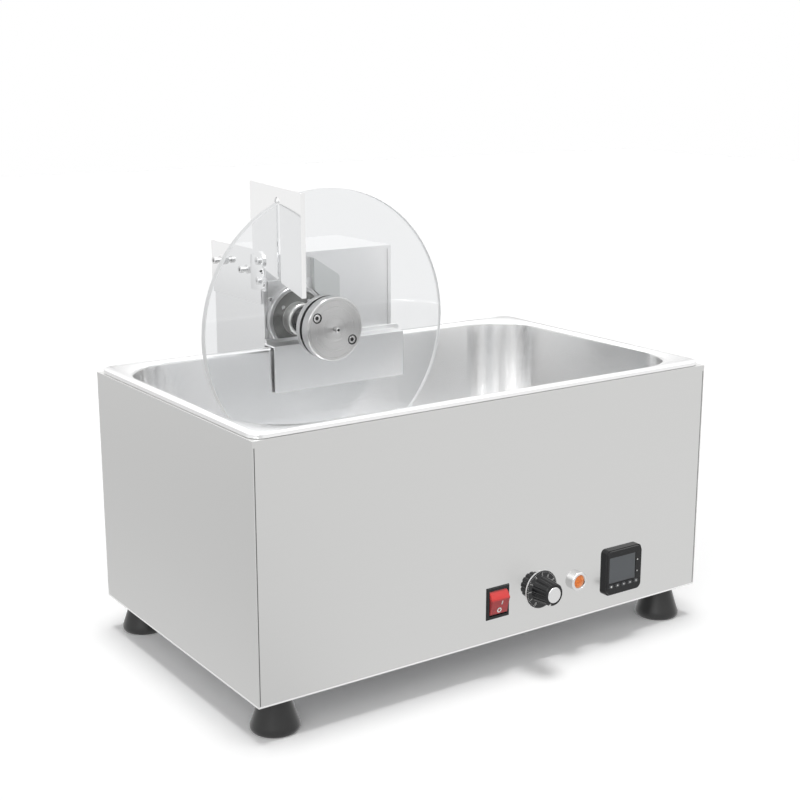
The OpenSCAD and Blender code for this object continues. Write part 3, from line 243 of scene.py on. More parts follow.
def turnedMetal(name, color, centre, roughness, anisotropic):
    made, tree, shader = startMetal(name, color, roughness, anisotropic)
    flat, far = fromAxis(tree, centre)
    rings = addNode(
        tree, "ShaderNodeTexNoise",
        {"noise_dimensions": "1D", "Scale": 1 / (turnedLook["ringPitch"] * mm)}, {"W": far}
    ).outputs[0]
    span = turnedLook["roughnessSpan"]
    tree.links.new(vary(tree, rings, roughness - span, roughness + span), shader.inputs["Roughness"])
    outward = addNode(
        tree, "ShaderNodeVectorTransform",
        {"vector_type": "VECTOR", "convert_from": "OBJECT", "convert_to": "WORLD"}, {0: flat}
    )
    tree.links.new(outward.outputs[0], shader.inputs["Tangent"])
    return made


# The bearing: turned aluminium, grey on the flange and bright on the neck within this radius in mm
bearingLook = {
    "neckRadius": 18.4,
    "neck": "d6d6d4",
    "flange": "747572",
    "roughness": 0.38,
    "anisotropic": 0.5,
}


def bearingMetal(centre):
    made = turnedMetal(
        "greyTurnedAluminium", bearingLook["flange"], centre, bearingLook["roughness"],
        bearingLook["anisotropic"]
    )
    tree = made.node_tree
    flange = beyond(tree, centre, bearingLook["neckRadius"])
    color = tint(tree, flange, bearingLook["neck"], bearingLook["flange"])
    tree.links.new(color, tree.nodes["Principled BSDF"].inputs["Base Color"])
    return made


# A fine grain that breaks up the gloss; its size and depth in mm
def addGrain(tree, shader, size, strength, depth):
    speckle = addNode(tree, "ShaderNodeTexNoise", {"Scale": 1 / (size * mm)}, {"Vector": objectPlace(tree)})
    bump = addNode(
        tree, "ShaderNodeBump", {"Strength": strength, "Distance": depth * mm}, {"Height": speckle.outputs[0]}
    )
    tree.links.new(bump.outputs[0], shader.inputs["Normal"])


# Die-cast aluminium as it leaves the mould: dull and slightly pitted
castLook = {
    "color": "b4b5b6",
    "roughness": 0.55,
    "grainSize": 1.6,
    "grainStrength": 0.25,
    "grainDepth": 0.1,
}


def castAluminium():
    made, tree, shader = startMetal("castAluminium", castLook["color"], castLook["roughness"])
    addGrain(tree, shader, castLook["grainSize"], castLook["grainStrength"], castLook["grainDepth"])
    return made


# Moulded plastics, rubber and paint: the mould's grain, with a depth in mm for each
mouldLook = {
    "grainSize": 0.9,
    "grainStrength": 0.3,
}


def moulded(name, color, roughness, ior=1.5, grainDepth=0.02):
    made, tree, shader = startMaterial(name, color, {"Roughness": roughness, "IOR": ior})
    addGrain(tree, shader, mouldLook["grainSize"], mouldLook["grainStrength"], grainDepth)
    return made


# The rocker's clear red plastic, with painted shade and light: a darker red on its lower face and a lighter
# red on its upper face, blended between these heights in metres
rockerLook = {
    "bright": "f0403e",
    "deep": "a8262a",
    "deepBelow": 0.0785,
    "brightAbove": 0.081,
    "roughness": 0.22,
}


def rockerRed():
    made = moulded("redRockerPlastic", rockerLook["bright"], rockerLook["roughness"], grainDepth=0.0)
    tree = made.node_tree
    height = addNode(tree, "ShaderNodeSeparateXYZ", links={0: objectPlace(tree)}).outputs["Z"]
    share = addNode(
        tree, "ShaderNodeMapRange",
        {"From Min": rockerLook["deepBelow"], "From Max": rockerLook["brightAbove"]}, {"Value": height}
    ).outputs[0]
    # painted shade and light: the lower face darker red, the upper face lit red
    color = tint(tree, share, rockerLook["deep"], rockerLook["bright"])
    tree.links.new(color, tree.nodes["Principled BSDF"].inputs["Base Color"])
    return made


# Cast acrylic sheet with polished faces and a sawn edge, which begins at this radius in mm:
# a pale frosted rim, with a painted glow that stands in for the light the edge gathers
wheelLook = {
    "face": "f2f3f4",
    "faceRoughness": 0.0,
    "faceClearness": 1.0,
    "ior": 1.49,
    "edgeFrom": 145.4,
    "edge": "b4b6b7",
    "edgeRoughness": 0.5,
    "edgeClearness": 0.3,
    "edgeGlow": 0.32,
    "glow": "ffffff",
}


def castAcrylic(centre):
    made, tree, shader = startMaterial("clearCastAcrylic", wheelLook["face"], {
        "Roughness": wheelLook["faceRoughness"], "IOR": wheelLook["ior"],
        "Transmission Weight": wheelLook["faceClearness"], "Emission Color": srgb(wheelLook["glow"]),
    })
    edge = beyond(tree, centre, wheelLook["edgeFrom"])
    for label, source in (
        ("Roughness", vary(tree, edge, wheelLook["faceRoughness"], wheelLook["edgeRoughness"])),
        ("Transmission Weight", vary(tree, edge, wheelLook["faceClearness"], wheelLook["edgeClearness"])),
        ("Base Color", tint(tree, edge, wheelLook["face"], wheelLook["edge"])),
        # painted glow on the frosted edge, not from any lamp
        ("Emission Strength", vary(tree, edge, 0.0, wheelLook["edgeGlow"])),
    ):
        tree.links.new(source, shader.inputs[label])
    return made


# The dial's skirt: black plastic whose turned edge, from this radius in mm, is left bright
skirtLook = {
    "color": "131416",
    "roughness": 0.3,
    "edge": "e4e4e4",
    "edgeFrom": 19.0,
}


def brightEdged(centre):
    made = moulded("blackDialSkirt", skirtLook["color"], skirtLook["roughness"])
    tree = made.node_tree
    edge = beyond(tree, centre, skirtLook["edgeFrom"])
    color = tint(tree, edge, skirtLook["color"], skirtLook["edge"])
    tree.links.new(color, tree.nodes["Principled BSDF"].inputs["Base Color"])
    return made


# The lamp's moulded lens: clear amber plastic, lit a little by what is behind it
lensLook = {
    "color": "e07818",
    "glow": "e06a10",
    "glowStrength": 0.15,
    "roughness": 0.12,
    "ior": 1.58,
    "clearness": 0.25,
}


def amberLens():
    return startMaterial("amberLensPlastic", lensLook["color"], {
        "Roughness": lensLook["roughness"], "IOR": lensLook["ior"],
        "Transmission Weight": lensLook["clearness"], "Emission Color": srgb(lensLook["glow"]),
        "Emission Strength": lensLook["glowStrength"],
    })[0]


wheelAxis = middle("coating_wheel")
dialAxis = middle("dial_skirt")

# One finish for each of the record's material slots
finishes = {
    "housing_steel": linedSheet("satinStainlessSheet"),
    "hidden_steel": plainMetal("zincCoatedSheet", "b4b5b7", roughness=0.45),
    "pan_steel": drawnPan(),
    "plate_steel": linedSheet("brushedStainlessPlate"),
    "turned_steel": turnedMetal("turnedStainless", "c4c4c4", wheelAxis, roughness=0.3, anisotropic=0.9),
    "bright_steel": plainMetal("brightZincScrews", "dcdcdc", roughness=0.12),
    "cast_alloy": castAluminium(),
    "bearing_alloy": bearingMetal(wheelAxis),
    "motor_paint": moulded("satinMotorPaint", "3a3c3e", roughness=0.4),
    "clear_acrylic": castAcrylic(wheelAxis),
    "black_rubber": moulded("blackFootRubber", "232323", roughness=0.3, ior=1.52, grainDepth=0.05),
    "gasket_rubber": moulded("softGasketRubber", "d0d0d0", roughness=0.7),
    "heater_silicone": moulded("redSiliconeMat", "b4573c", roughness=0.6),
    "insulation_wool": moulded("ceramicWool", "d9d2bc", roughness=0.95, ior=1.4, grainDepth=0.4),
    "black_plastic": moulded("blackNylon", "131416", roughness=0.24, ior=1.4),
    "grey_plastic": moulded("greyMouldedPlastic", "3c3e41", roughness=0.4),
    "pale_plastic": moulded("paleMelamine", "e6e6e0", roughness=0.45),
    "red_plastic": rockerRed(),
    "lens_plastic": amberLens(),
    "window_plastic": moulded("greyDisplayWindow", "54585c", roughness=0.12, grainDepth=0.0),
}

# Finishes that only some pieces of a slot have, or only small marks and edges
otherFinishes = {
    "print": moulded("whiteScreenInk", "e8e8e6", roughness=0.5),
    "seam": plainMetal("darkSheetSeam", "707070", roughness=0.5),
    "mirror": linedSheet("mirrorStainlessPlate"),
    # bright metal strips that paint a highlight along the housing's lower edges
    "fold": plainMetal("polishedSheetEdge", "fcfcfc", roughness=0.25),
    "guard": plainMetal("satinSplashGuard", "dcdedd", roughness=0.36),
    # flat black that paints the shade in the hub's screw pockets, sockets and pin hole
    "ink": moulded("blackInk", "101010", roughness=0.6),
    "skirt": brightEdged(dialAxis),
}
print("materials made:", len(finishes) + len(otherFinishes))


def paint(piece, finish):
    piece.data.materials.clear()
    piece.data.materials.append(finish)


def finishPiece(piece, finish, body):
    paint(piece, finish)
    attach(piece, body)


def showMesh(name, mesh):
    piece = bpy.data.objects.new(name, mesh)
    bpy.context.scene.collection.objects.link(piece)
    return piece


# Edges of sheet, castings and mouldings are never quite sharp: angles in degrees, distance in metres
softEdge = {
    "sharpFrom": 32,
    "steps": 2,
    "flatWithin": 0.3,
    "joinWithin": 1e-6,
}


def softened(name, node, radius):
    joined = bmesh.new()
    joined.from_mesh(cadNodes[node].data)
    bmesh.ops.remove_doubles(joined, verts=joined.verts, dist=softEdge["joinWithin"])
    bmesh.ops.dissolve_limit(
        joined, angle_limit=math.radians(softEdge["flatWithin"]), verts=joined.verts, edges=joined.edges
    )
    mesh = bpy.data.meshes.new(name)
    joined.to_mesh(mesh)
    joined.free()
    mesh.shade_smooth()
    sharp = math.radians(softEdge["sharpFrom"])
    mesh.set_sharp_from_angle(angle=sharp)
    piece = showMesh(name, mesh)
    if radius:
        bevel = piece.modifiers.new("softEdge", "BEVEL")
        bevel.width = radius * mm
        bevel.segments = softEdge["steps"]
        bevel.limit_method = "ANGLE"
        bevel.angle_limit = sharp
        bevel.harden_normals = True
    finishPiece(piece, finishes[slotOfNode[node]], cadNodes[node]["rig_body"])
    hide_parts(node)
    return piece


# Each piece that can be seen: the CAD node it shows, and the radius of its edges in mm
shownPieces = {
    "cabinet": ("housing_shell", 0.5),
    "floorPanel": ("base_panel", 0.3),
    "rimStrip": ("rim_gasket", 0.4),
    "footScrews": ("foot_screws", 0.3),
    "floorScrews": ("base_screws", 0.2),
    "switchBezel": ("switch_frame", 0.3),
    "switchRocker": ("switch_rocker", 0.6),
    "lampBezel": ("lamp_bezel", 0.4),
    "lampLens": ("lamp_lens", 0.3),
    "controllerCase": ("controller_case", 0.6),
    "controllerScreen": ("controller_window", 0.2),
    "liftOutPan": ("pan", 0.3),
    "saddle": ("saddle_plate", 0.5),
    "boxFront": ("mount_plate", 0.3),
    "boxCover": ("motor_cover", 0.4),
    "boxBack": ("back_panel", 0.3),
    "boxScrews": ("cover_screws", 0.4),
    "bearingPlate": ("bearing_plate", 0.3),
    "bearingRing": ("bearing_ring", 0.4),
    "bearingHousing": ("bearing_housing", 0.4),
    "shaftSeal": ("shaft_seal", 0.2),
    "bearingScrews": ("bearing_screws", 0.3),
    "splashGuard": ("drip_guard", 0.9),
    "scraperBracket": ("scraper_bracket", 0.5),
    "bracketBolts": ("bracket_bolts", 0.4),
    "scraper": ("scraper_plate", 0.3),
    "scraperScrews": ("scraper_screws", 0.3),
    "boxGland": ("unit_gland", 0.4),
    "cabinetGland": ("cable_gland", 0.4),
    "driveShaft": ("drive_shaft", 0.2),
    "rearDisc": ("rear_disc", 0.4),
    "clearWheel": ("coating_wheel", 0.0),
    "wheelCap": ("front_cap", 0.3),
    "capScrews": ("cap_screws", 0.3),
    "centrePin": ("centre_pin", 0.3),
    "dialGrip": ("dial_knob", 0.3),
    "dialSkirt": ("dial_skirt", 0.25),
    "dialCap": ("dial_cap", 0.2),
}
keyNumbers = range(1, 6)
keyEdge = 0.4
for number in keyNumbers:
    shownPieces["controllerKey%d" % number] = ("controller_key_%d" % number, keyEdge)

shown = {name: softened(name, node, radius) for name, (node, radius) in shownPieces.items()}
shown["clearWheel"].visible_shadow = False
for name, finish in (
    ("dialSkirt", "skirt"), ("splashGuard", "guard"), ("scraper", "mirror"), ("scraperBracket", "mirror")
):
    paint(shown[name], otherFinishes[finish])
print("shown pieces:", len(shown))

# What stays inside keeps its own shape and only takes its finish; the feet are made further down
footNodes = ("foot_front_left", "foot_front_right", "foot_rear_left", "foot_rear_right")
replaced = {node for node, radius in shownPieces.values()} | set(footNodes)
for node, cadObject in cadNodes.items():
    if node not in replaced:
        paint(cadObject, finishes[slotOfNode[node]])
print("hidden pieces:", len(cadNodes) - len(replaced))


# Points round a circle of this radius in mm: pairs of offsets from its middle, in metres
def circle(radius, segments):
    angles = [2 * math.pi * step / segments for step in range(segments)]
    return [(radius * mm * math.cos(angle), radius * mm * math.sin(angle)) for angle in angles]


# A band of faces between two rings of equally many points
def bridge(mesh, here, there):
    for step in range(len(here)):
        beside = (step + 1) % len(here)
        mesh.faces.new((here[step], here[beside], there[beside], there[step]))


# Bands from each ring to the next, and from the last one back to the first
def closedBands(mesh, rings):
    for turn, here in enumerate(rings):
        bridge(mesh, here, rings[(turn + 1) % len(rings)])


# A ring along Y, or a disc where the inner radius is 0: radii in mm, the rest in metres
def addRing(mesh, outer, inner, front, back, centre, segments):
    corners = ((outer, front), (outer, back), (inner, back), (inner, front))
    rings = []
    for radius, depth in corners if inner else corners[:2]:
        points = circle(radius, segments)
        rings.append([mesh.verts.new((centre.x + x, depth, centre.z + z)) for x, z in points])
    if inner:
        closedBands(mesh, rings)
    else:
        bridge(mesh, *rings)
        mesh.faces.new(rings[0])
        mesh.faces.new(rings[1])
    return [vert for ring in rings for vert in ring]


def finishedPart(name, mesh, finish, body):
    bmesh.ops.recalc_face_normals(mesh, faces=mesh.faces)
    data = bpy.data.meshes.new(name)
    mesh.to_mesh(data)
    mesh.free()
    piece = showMesh(name, data)
    finishPiece(piece, finish, body)
    return piece


# The rubber feet: a cone with a rounded lower lip, turned round a screw pocket (radius, height in mm)
footLook = {
    "profile": (
        (7.0, 0.0), (19.5, 0.0), (21.8, 0.7), (22.8, 2.4), (22.8, 4.8), (21.4, 8.6), (17.4, 21.0),
        (13.6, 34.0), (13.4, 35.0), (2.6, 35.0), (2.6, 18.0), (7.0, 18.0),
    ),
    "segments": 64,
    "smoothUnder": 40,
}


def turnedFoot(node):
    centre = middle(node)
    mesh = bmesh.new()
    rings = []
    for radius, height in footLook["profile"]:
        points = circle(radius, footLook["segments"])
        rings.append([mesh.verts.new((centre.x + x, centre.y + y, height * mm)) for x, y in points])
    closedBands(mesh, rings)
    name = "rubber" + node.title().replace("_", "")
    piece = finishedPart(name, mesh, finishes["black_rubber"], cadNodes[node]["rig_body"])
    piece.data.shade_smooth()
    piece.data.set_sharp_from_angle(angle=math.radians(footLook["smoothUnder"]))
    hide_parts(node)


for node in footNodes:
    turnedFoot(node)
print("feet made:", len(footNodes))

# Small things of the wheel's hub, in mm and degrees: the washers by the wheel, and painted shade
# as flat dark marks: a ring round each screw's head where its pocket lies in shade, the six-sided sockets and
# the hole in the pin's end
hubLook = {
    "washerOuter": 33.4,
    "washerInner": 10.2,
    "washerThick": 0.24,
    "washerGap": 0.03,
    "washerSegments": 96,
    "screwAngle": 148,
    "screwRadius": 25.3,
    "pocketOuter": 5.5,
    "pocketInner": 4.25,
    "pocketProud": 0.02,
    "pocketThick": 0.2,
    "pocketSegments": 32,
    "socketRadius": 2.3,
    "socketSides": 6,
    "pinHole": 1.5,
    "pinHoleSegments": 24,
    "inkHeight": 0.05,
}


def wheelWashers():
    wheelLow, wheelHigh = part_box("coating_wheel")
    gap, thick = hubLook["washerGap"] * mm, hubLook["washerThick"] * mm
    frontWasher = (wheelLow.y - gap - thick, wheelLow.y - gap)
    backWasher = (wheelHigh.y + gap, wheelHigh.y + gap + thick)
    washers = bmesh.new()
    for near, far in (frontWasher, backWasher):
        addRing(
            washers, hubLook["washerOuter"], hubLook["washerInner"], near, far, wheelAxis,
            hubLook["washerSegments"]
        )
    finishedPart("wheelWashers", washers, finishes["black_rubber"], "wheel")


def hubSockets():
    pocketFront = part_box("front_cap")[0].y - hubLook["pocketProud"] * mm
    pocketBack = pocketFront + hubLook["pocketThick"] * mm
    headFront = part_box("cap_screws")[0].y
    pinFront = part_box("centre_pin")[0].y
    ink = hubLook["inkHeight"] * mm
    sockets = bmesh.new()
    for turn in (0, 180):
        angle = math.radians(hubLook["screwAngle"] + turn)
        far = hubLook["screwRadius"] * mm
        centre = wheelAxis + Vector((far * math.cos(angle), 0, far * math.sin(angle)))
        addRing(
            sockets, hubLook["pocketOuter"], hubLook["pocketInner"], pocketFront, pocketBack, centre,
            hubLook["pocketSegments"]
        )
        addRing(
            sockets, hubLook["socketRadius"], 0, headFront - ink, headFront + ink, centre,
            hubLook["socketSides"]
        )
    addRing(
        sockets, hubLook["pinHole"], 0, pinFront - ink, pinFront + ink, wheelAxis, hubLook["pinHoleSegments"]
    )
    # painted shade: the dark pockets, sockets and pin hole are flat black marks
    finishedPart("hubSockets", sockets, otherFinishes["ink"], "wheel")


wheelWashers()
hubSockets()
print("hub parts made")


# A flat bar on a face that looks to the front: its sizes in mm, turned in the face and tilted
# back, both in degrees, round its middle
def inkBar(mesh, centre, width, depth, height, turn=0.0, tilt=0.0):
    place = Matrix.Translation(centre) @ Matrix.Rotation(math.radians(tilt), 4, "X")
    place = place @ Matrix.Rotation(math.radians(turn), 4, "Y")
    size = Matrix.Diagonal((width * mm, depth * mm, height * mm, 1))
    bmesh.ops.create_cube(mesh, size=1.0, matrix=place @ size)


# The dark seams where the front sheet meets the side sheets, in mm from the corner
seamLook = {
    "in": 1.6,
    "width": 0.9,
    "height": 0.04,
    "belowRim": 6,
    "aboveEdge": 2,
}


def cornerSeams():
    low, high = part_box("housing_shell")
    bottom = low.z + seamLook["aboveEdge"] * mm
    top = high.z - seamLook["belowRim"] * mm
    seams = bmesh.new()
    for x in (low.x + seamLook["in"] * mm, high.x - seamLook["in"] * mm):
        centre = Vector((x, low.y, (bottom + top) / 2))
        inkBar(seams, centre, seamLook["width"], seamLook["height"], (top - bottom) / mm)
    finishedPart("cornerSeams", seams, otherFinishes["seam"], "base")


# Bright strips along the sheet's lower edges, in mm: a painted highlight where the edges catch the light
edgeHighlightLook = {
    "height": 1.3,
    "up": 0.9,
    "thick": 0.08,
    "shorter": 1,
}


def lowerEdges():
    low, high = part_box("housing_shell")
    centre = (low + high) / 2
    z = low.z + edgeHighlightLook["up"] * mm
    width = (high.x - low.x) / mm - edgeHighlightLook["shorter"]
    depth = (high.y - low.y) / mm - edgeHighlightLook["shorter"]
    highlightStrips = bmesh.new()
    for y in (low.y, high.y):
        inkBar(highlightStrips, Vector((centre.x, y, z)), width, edgeHighlightLook["thick"], edgeHighlightLook["height"])
    for x in (low.x, high.x):
        inkBar(highlightStrips, Vector((x, centre.y, z)), edgeHighlightLook["thick"], depth, edgeHighlightLook["height"])
    finishedPart("lowerEdges", highlightStrips, otherFinishes["fold"], "base")


# The pale lip of the seal, which shows between the housing and the skirt of the pan's rim, in mm
lipLook = {
    "in": 0.3,
    "width": 2.0,
    "gap": 0.03,
    "corner": 13.0,
    "cornerSteps": 12,
    "skirtDown": 4.5,
}


# A rectangle with round corners, this far inside a box at one height: mm, the height in metres
def roundedRing(mesh, low, high, inside, cornerRadius, height):
    radius = cornerRadius * mm
    reach = inside * mm + radius
    steps = lipLook["cornerSteps"]
    ring = []
    for corner, (sideX, sideY) in enumerate(((1, 1), (-1, 1), (-1, -1), (1, -1))):
        x = (high.x if sideX > 0 else low.x) - sideX * reach
        y = (high.y if sideY > 0 else low.y) - sideY * reach
        for step in range(steps + 1):
            angle = math.pi / 2 * (corner + step / steps)
            ring.append(mesh.verts.new((x + radius * math.cos(angle), y + radius * math.sin(angle), height)))
    return ring


def sealLip():
    low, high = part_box("pan")
    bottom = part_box("housing_shell")[1].z + lipLook["gap"] * mm
    top = high.z - (lipLook["skirtDown"] + lipLook["gap"]) * mm
    width = lipLook["width"]
    lip = bmesh.new()
    rings = []
    for inset, height in ((0, bottom), (0, top), (width, top), (width, bottom)):
        inside = lipLook["in"] + inset
        rings.append(roundedRing(lip, low, high, inside, lipLook["corner"] - inside, height))
    closedBands(lip, rings)
    finishedPart("sealLip", lip, finishes["gasket_rubber"], "base")


cornerSeams()
lowerEdges()
sealLip()
print("seams and edges made")

# The rocker's line and ring: across, up and out from the panel at the switch's middle, in mm,
# each tilted in degrees to lie on its face
rockerMarks = {
    "lineAt": (2.0, 0.9),
    "lineOut": 5.55,
    "lineWidth": 1.1,
    "lineHeight": 4.4,
    "lineTilt": 18.5,
    "ringAt": (0.0, -7.1),
    "ringOut": 3.52,
    "ringOuter": 2.7,
    "ringInner": 1.5,
    "ringSegments": 32,
    "ringTilt": 11.5,
    "inkHeight": 0.1,
}


def beforeSwitch(at, out):
    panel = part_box("housing_shell")[0].y
    centre = middle("switch_frame")
    return Vector((centre.x + at[0] * mm, panel - out * mm, centre.z + at[1] * mm))


def rockerInk():
    ink = bmesh.new()
    linePlace = beforeSwitch(rockerMarks["lineAt"], rockerMarks["lineOut"])
    inkBar(
        ink, linePlace, rockerMarks["lineWidth"], rockerMarks["inkHeight"], rockerMarks["lineHeight"],
        tilt=rockerMarks["lineTilt"]
    )
    half = rockerMarks["inkHeight"] * mm / 2
    ring = addRing(
        ink, rockerMarks["ringOuter"], rockerMarks["ringInner"], -half, half, Vector((0, 0, 0)),
        rockerMarks["ringSegments"]
    )
    ringPlace = Matrix.Translation(beforeSwitch(rockerMarks["ringAt"], rockerMarks["ringOut"]))
    tilt = Matrix.Rotation(math.radians(rockerMarks["ringTilt"]), 4, "X")
    bmesh.ops.transform(ink, matrix=ringPlace @ tilt, verts=ring)
    finishedPart("rockerInk", ink, otherFinishes["print"], "rocker")


rockerInk()

# The controller's print, in mm from the case's middle: two dashes right of the screen, and on the
# keys a ring, an arrow up, an arrow down, a bar and a cross
controllerPrint = {
    "dashX": 17.6,
    "dashZ": (8.3, -3.8),
    "dashWidth": 1.6,
    "dashHeight": 1.0,
    "inkHeight": 0.1,
    "signSize": 2.2,
    "signLine": 0.8,
    "ringLine": 0.64,
    "ringSegments": 16,
    "arrowRadius": 1.32,
    "arrowSides": 3,
    "ringKey": 1,
    "arrowTurns": {2: -90, 3: 90},
    "barTurns": {4: (0,), 5: (45, -45)},
}


def controllerDashes():
    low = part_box("controller_case")[0]
    centre = middle("controller_case")
    dashes = bmesh.new()
    for z in controllerPrint["dashZ"]:
        place = Vector((centre.x + controllerPrint["dashX"] * mm, low.y, centre.z + z * mm))
        inkBar(
            dashes, place, controllerPrint["dashWidth"], controllerPrint["inkHeight"],
            controllerPrint["dashHeight"]
        )
    finishedPart("controllerDashes", dashes, otherFinishes["print"], "base")


def keySign(key):
    node = "controller_key_%d" % key
    place = middle(node)
    place.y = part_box(node)[0].y
    half = controllerPrint["inkHeight"] * mm / 2
    front, back = place.y - half, place.y + half
    size = controllerPrint["signSize"]
    sign = bmesh.new()
    if key == controllerPrint["ringKey"]:
        inner = size / 2 - controllerPrint["ringLine"]
        addRing(sign, size / 2, inner, front, back, place, controllerPrint["ringSegments"])
    if key in controllerPrint["arrowTurns"]:
        radius, sides = controllerPrint["arrowRadius"], controllerPrint["arrowSides"]
        corners = addRing(sign, radius, 0, front, back, place, sides)
        turn = Matrix.Rotation(math.radians(controllerPrint["arrowTurns"][key]), 4, "Y")
        around = Matrix.Translation(place) @ turn @ Matrix.Translation(-place)
        bmesh.ops.transform(sign, matrix=around, verts=corners)
    for turn in controllerPrint["barTurns"].get(key, ()):
        inkBar(sign, place, size, controllerPrint["inkHeight"], controllerPrint["signLine"], turn=turn)
    finishedPart("keySign%d" % key, sign, otherFinishes["print"], "key_%d" % key)


controllerDashes()
for key in keyNumbers:
    keySign(key)

# The dial's pointer: a white line over the grip's front edge, in mm and degrees
dialPointer = {
    "angle": 208,
    "radius": 10.6,
    "width": 1.2,
    "length": 3.0,
    "height": 0.12,
}


# A place on the dial: an angle in radians from the top, and a distance in mm, at this depth
def roundDial(angle, radius, depth):
    far = radius * mm
    return Vector((dialAxis.x + far * math.sin(angle), depth, dialAxis.z + far * math.cos(angle)))


def pointerInk():
    angle = dialPointer["angle"]
    place = roundDial(math.radians(angle), dialPointer["radius"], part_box("dial_knob")[0].y)
    ink = bmesh.new()
    inkBar(ink, place, dialPointer["width"], dialPointer["height"], dialPointer["length"], turn=angle)
    finishedPart("dialPointer", ink, otherFinishes["print"], "dial")


pointerInk()
print("ink marks made")

# The panel's controls stay out of the panel's own soft reflection, as in the photograph
quietControls = (
    "switchBezel", "switchRocker", "dialGrip", "dialSkirt", "dialCap", "lampBezel", "lampLens",
    "controllerCase", "controllerScreen",
)
for name in quietControls:
    shown[name].visible_glossy = False


def nodeTree(name, inputs):
    tree = bpy.data.node_groups.new(name, "GeometryNodeTree")
    tree.interface.new_socket("Geometry", in_out="OUTPUT", socket_type="NodeSocketGeometry")
    for label, kind in inputs:
        tree.interface.new_socket(label, in_out="INPUT", socket_type=kind)
    return tree, tree.nodes.new("NodeGroupInput").outputs


# The mesh that an object shows once its modifiers or its letters are worked out
def workedOut(holder):
    bpy.context.view_layer.update()
    mesh = bpy.data.meshes.new_from_object(holder.evaluated_get(bpy.context.evaluated_depsgraph_get()))
    bpy.data.objects.remove(holder)
    return mesh


def grow(name, tree, values, finish, body):
    holder = showMesh(name + "Holder", bpy.data.meshes.new(name + "Holder"))
    modifier = holder.modifiers.new("grow", "NODES")
    modifier.node_group = tree
    for item in tree.interface.items_tree:
        if item.in_out == "INPUT":
            modifier[item.identifier] = values[item.name]
    grown = workedOut(holder)
    grown.name = name
    finishPiece(showMesh(name, grown), finish, body)


# The skirt's scale, in mm and degrees: fine lines and numbers printed from the lowest to the
# highest mark; a digit's height is this share of the font's size, and joinWithin is in metres
dialScale = {
    "lines": 51,
    "longEvery": 5,
    "outerRadius": 18.3,
    "shortLength": 1.0,
    "longLength": 1.7,
    "lineWidth": 0.25,
    "inkHeight": 0.05,
    "sweep": 300,
    "highestNumber": 10,
    "numberHeight": 2.9,
    "numberRadius": 14.9,
    "heightShare": 0.7,
    "joinWithin": 1e-7,
}


def scaleTree(finish):
    tree, given = nodeTree("dialScale", [
        ("Lines", "NodeSocketInt"), ("Long Every", "NodeSocketInt"), ("Radius", "NodeSocketFloat"),
        ("Short Length", "NodeSocketFloat"), ("Long Length", "NodeSocketFloat"),
        ("Line Width", "NodeSocketFloat"), ("Ink Height", "NodeSocketFloat"),
        ("Sweep", "NodeSocketFloat"), ("Centre", "NodeSocketVector"),
    ])
    index = addNode(tree, "GeometryNodeInputIndex").outputs[0]
    gaps = calc(tree, "SUBTRACT", {1: 1.0}, {0: given["Lines"]})
    share = calc(tree, "DIVIDE", links={0: index, 1: gaps})
    centred = calc(tree, "SUBTRACT", {1: 0.5}, {0: share})
    angle = calc(tree, "MULTIPLY", links={0: centred, 1: given["Sweep"]})
    step = calc(tree, "MODULO", links={0: index, 1: given["Long Every"]})
    isShort = calc(tree, "GREATER_THAN", {1: 0.5}, {0: step})
    length = addNode(
        tree, "GeometryNodeSwitch", {"input_type": "FLOAT"},
        {"Switch": isShort, "False": given["Long Length"], "True": given["Short Length"]}
    ).outputs[0]
    half = calc(tree, "MULTIPLY", {1: 0.5}, {0: length})
    far = calc(tree, "SUBTRACT", links={0: given["Radius"], 1: half})
    outward = addNode(tree, "ShaderNodeCombineXYZ", links={"Z": far}).outputs[0]
    turn = addNode(tree, "ShaderNodeCombineXYZ", links={"Y": angle}).outputs[0]
    place = addNode(
        tree, "ShaderNodeVectorRotate", {"rotation_type": "EULER_XYZ"}, {"Vector": outward, "Rotation": turn}
    ).outputs[0]
    seat = calcVector(tree, "ADD", links={0: place, 1: given["Centre"]})
    points = addNode(tree, "GeometryNodePoints", links={"Count": given["Lines"], "Position": seat}).outputs[0]
    size = addNode(
        tree, "ShaderNodeCombineXYZ", links={"X": given["Line Width"], "Y": given["Ink Height"], "Z": length}
    ).outputs[0]
    bar = addNode(tree, "GeometryNodeMeshCube", {"Size": (1, 1, 1)}).outputs[0]
    lines = addNode(
        tree, "GeometryNodeInstanceOnPoints",
        links={"Points": points, "Instance": bar, "Rotation": turn, "Scale": size}
    ).outputs[0]
    real = addNode(tree, "GeometryNodeRealizeInstances", links={"Geometry": lines}).outputs[0]
    inked = addNode(tree, "GeometryNodeSetMaterial", {"Material": finish}, {"Geometry": real}).outputs[0]
    addNode(tree, "NodeGroupOutput", links={0: inked})
    return tree


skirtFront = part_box("dial_skirt")[0].y
grow("dialScale", scaleTree(otherFinishes["print"]), {
    "Lines": dialScale["lines"],
    "Long Every": dialScale["longEvery"],
    "Radius": dialScale["outerRadius"] * mm,
    "Short Length": dialScale["shortLength"] * mm,
    "Long Length": dialScale["longLength"] * mm,
    "Line Width": dialScale["lineWidth"] * mm,
    "Ink Height": dialScale["inkHeight"] * mm,
    "Sweep": math.radians(dialScale["sweep"]),
    "Centre": (dialAxis.x, skirtFront, dialAxis.z),
}, otherFinishes["print"], "dial")
print("dial scale printed")


def letterMesh(words, height, depth):
    curve = bpy.data.curves.new("letters", "FONT")
    curve.body = words
    curve.size = height * mm / dialScale["heightShare"]
    curve.extrude = depth * mm / 2
    curve.align_x = "CENTER"
    curve.align_y = "CENTER"
    return workedOut(showMesh("letters", curve))


# Letters lie flat when made: they are stood up, turned round the dial and put in place
def stand(mesh, turn, place):
    mesh.transform(Matrix.Rotation(math.radians(90), 4, "X"))
    mesh.transform(Matrix.Rotation(turn, 4, "Y"))
    mesh.transform(Matrix.Translation(place))


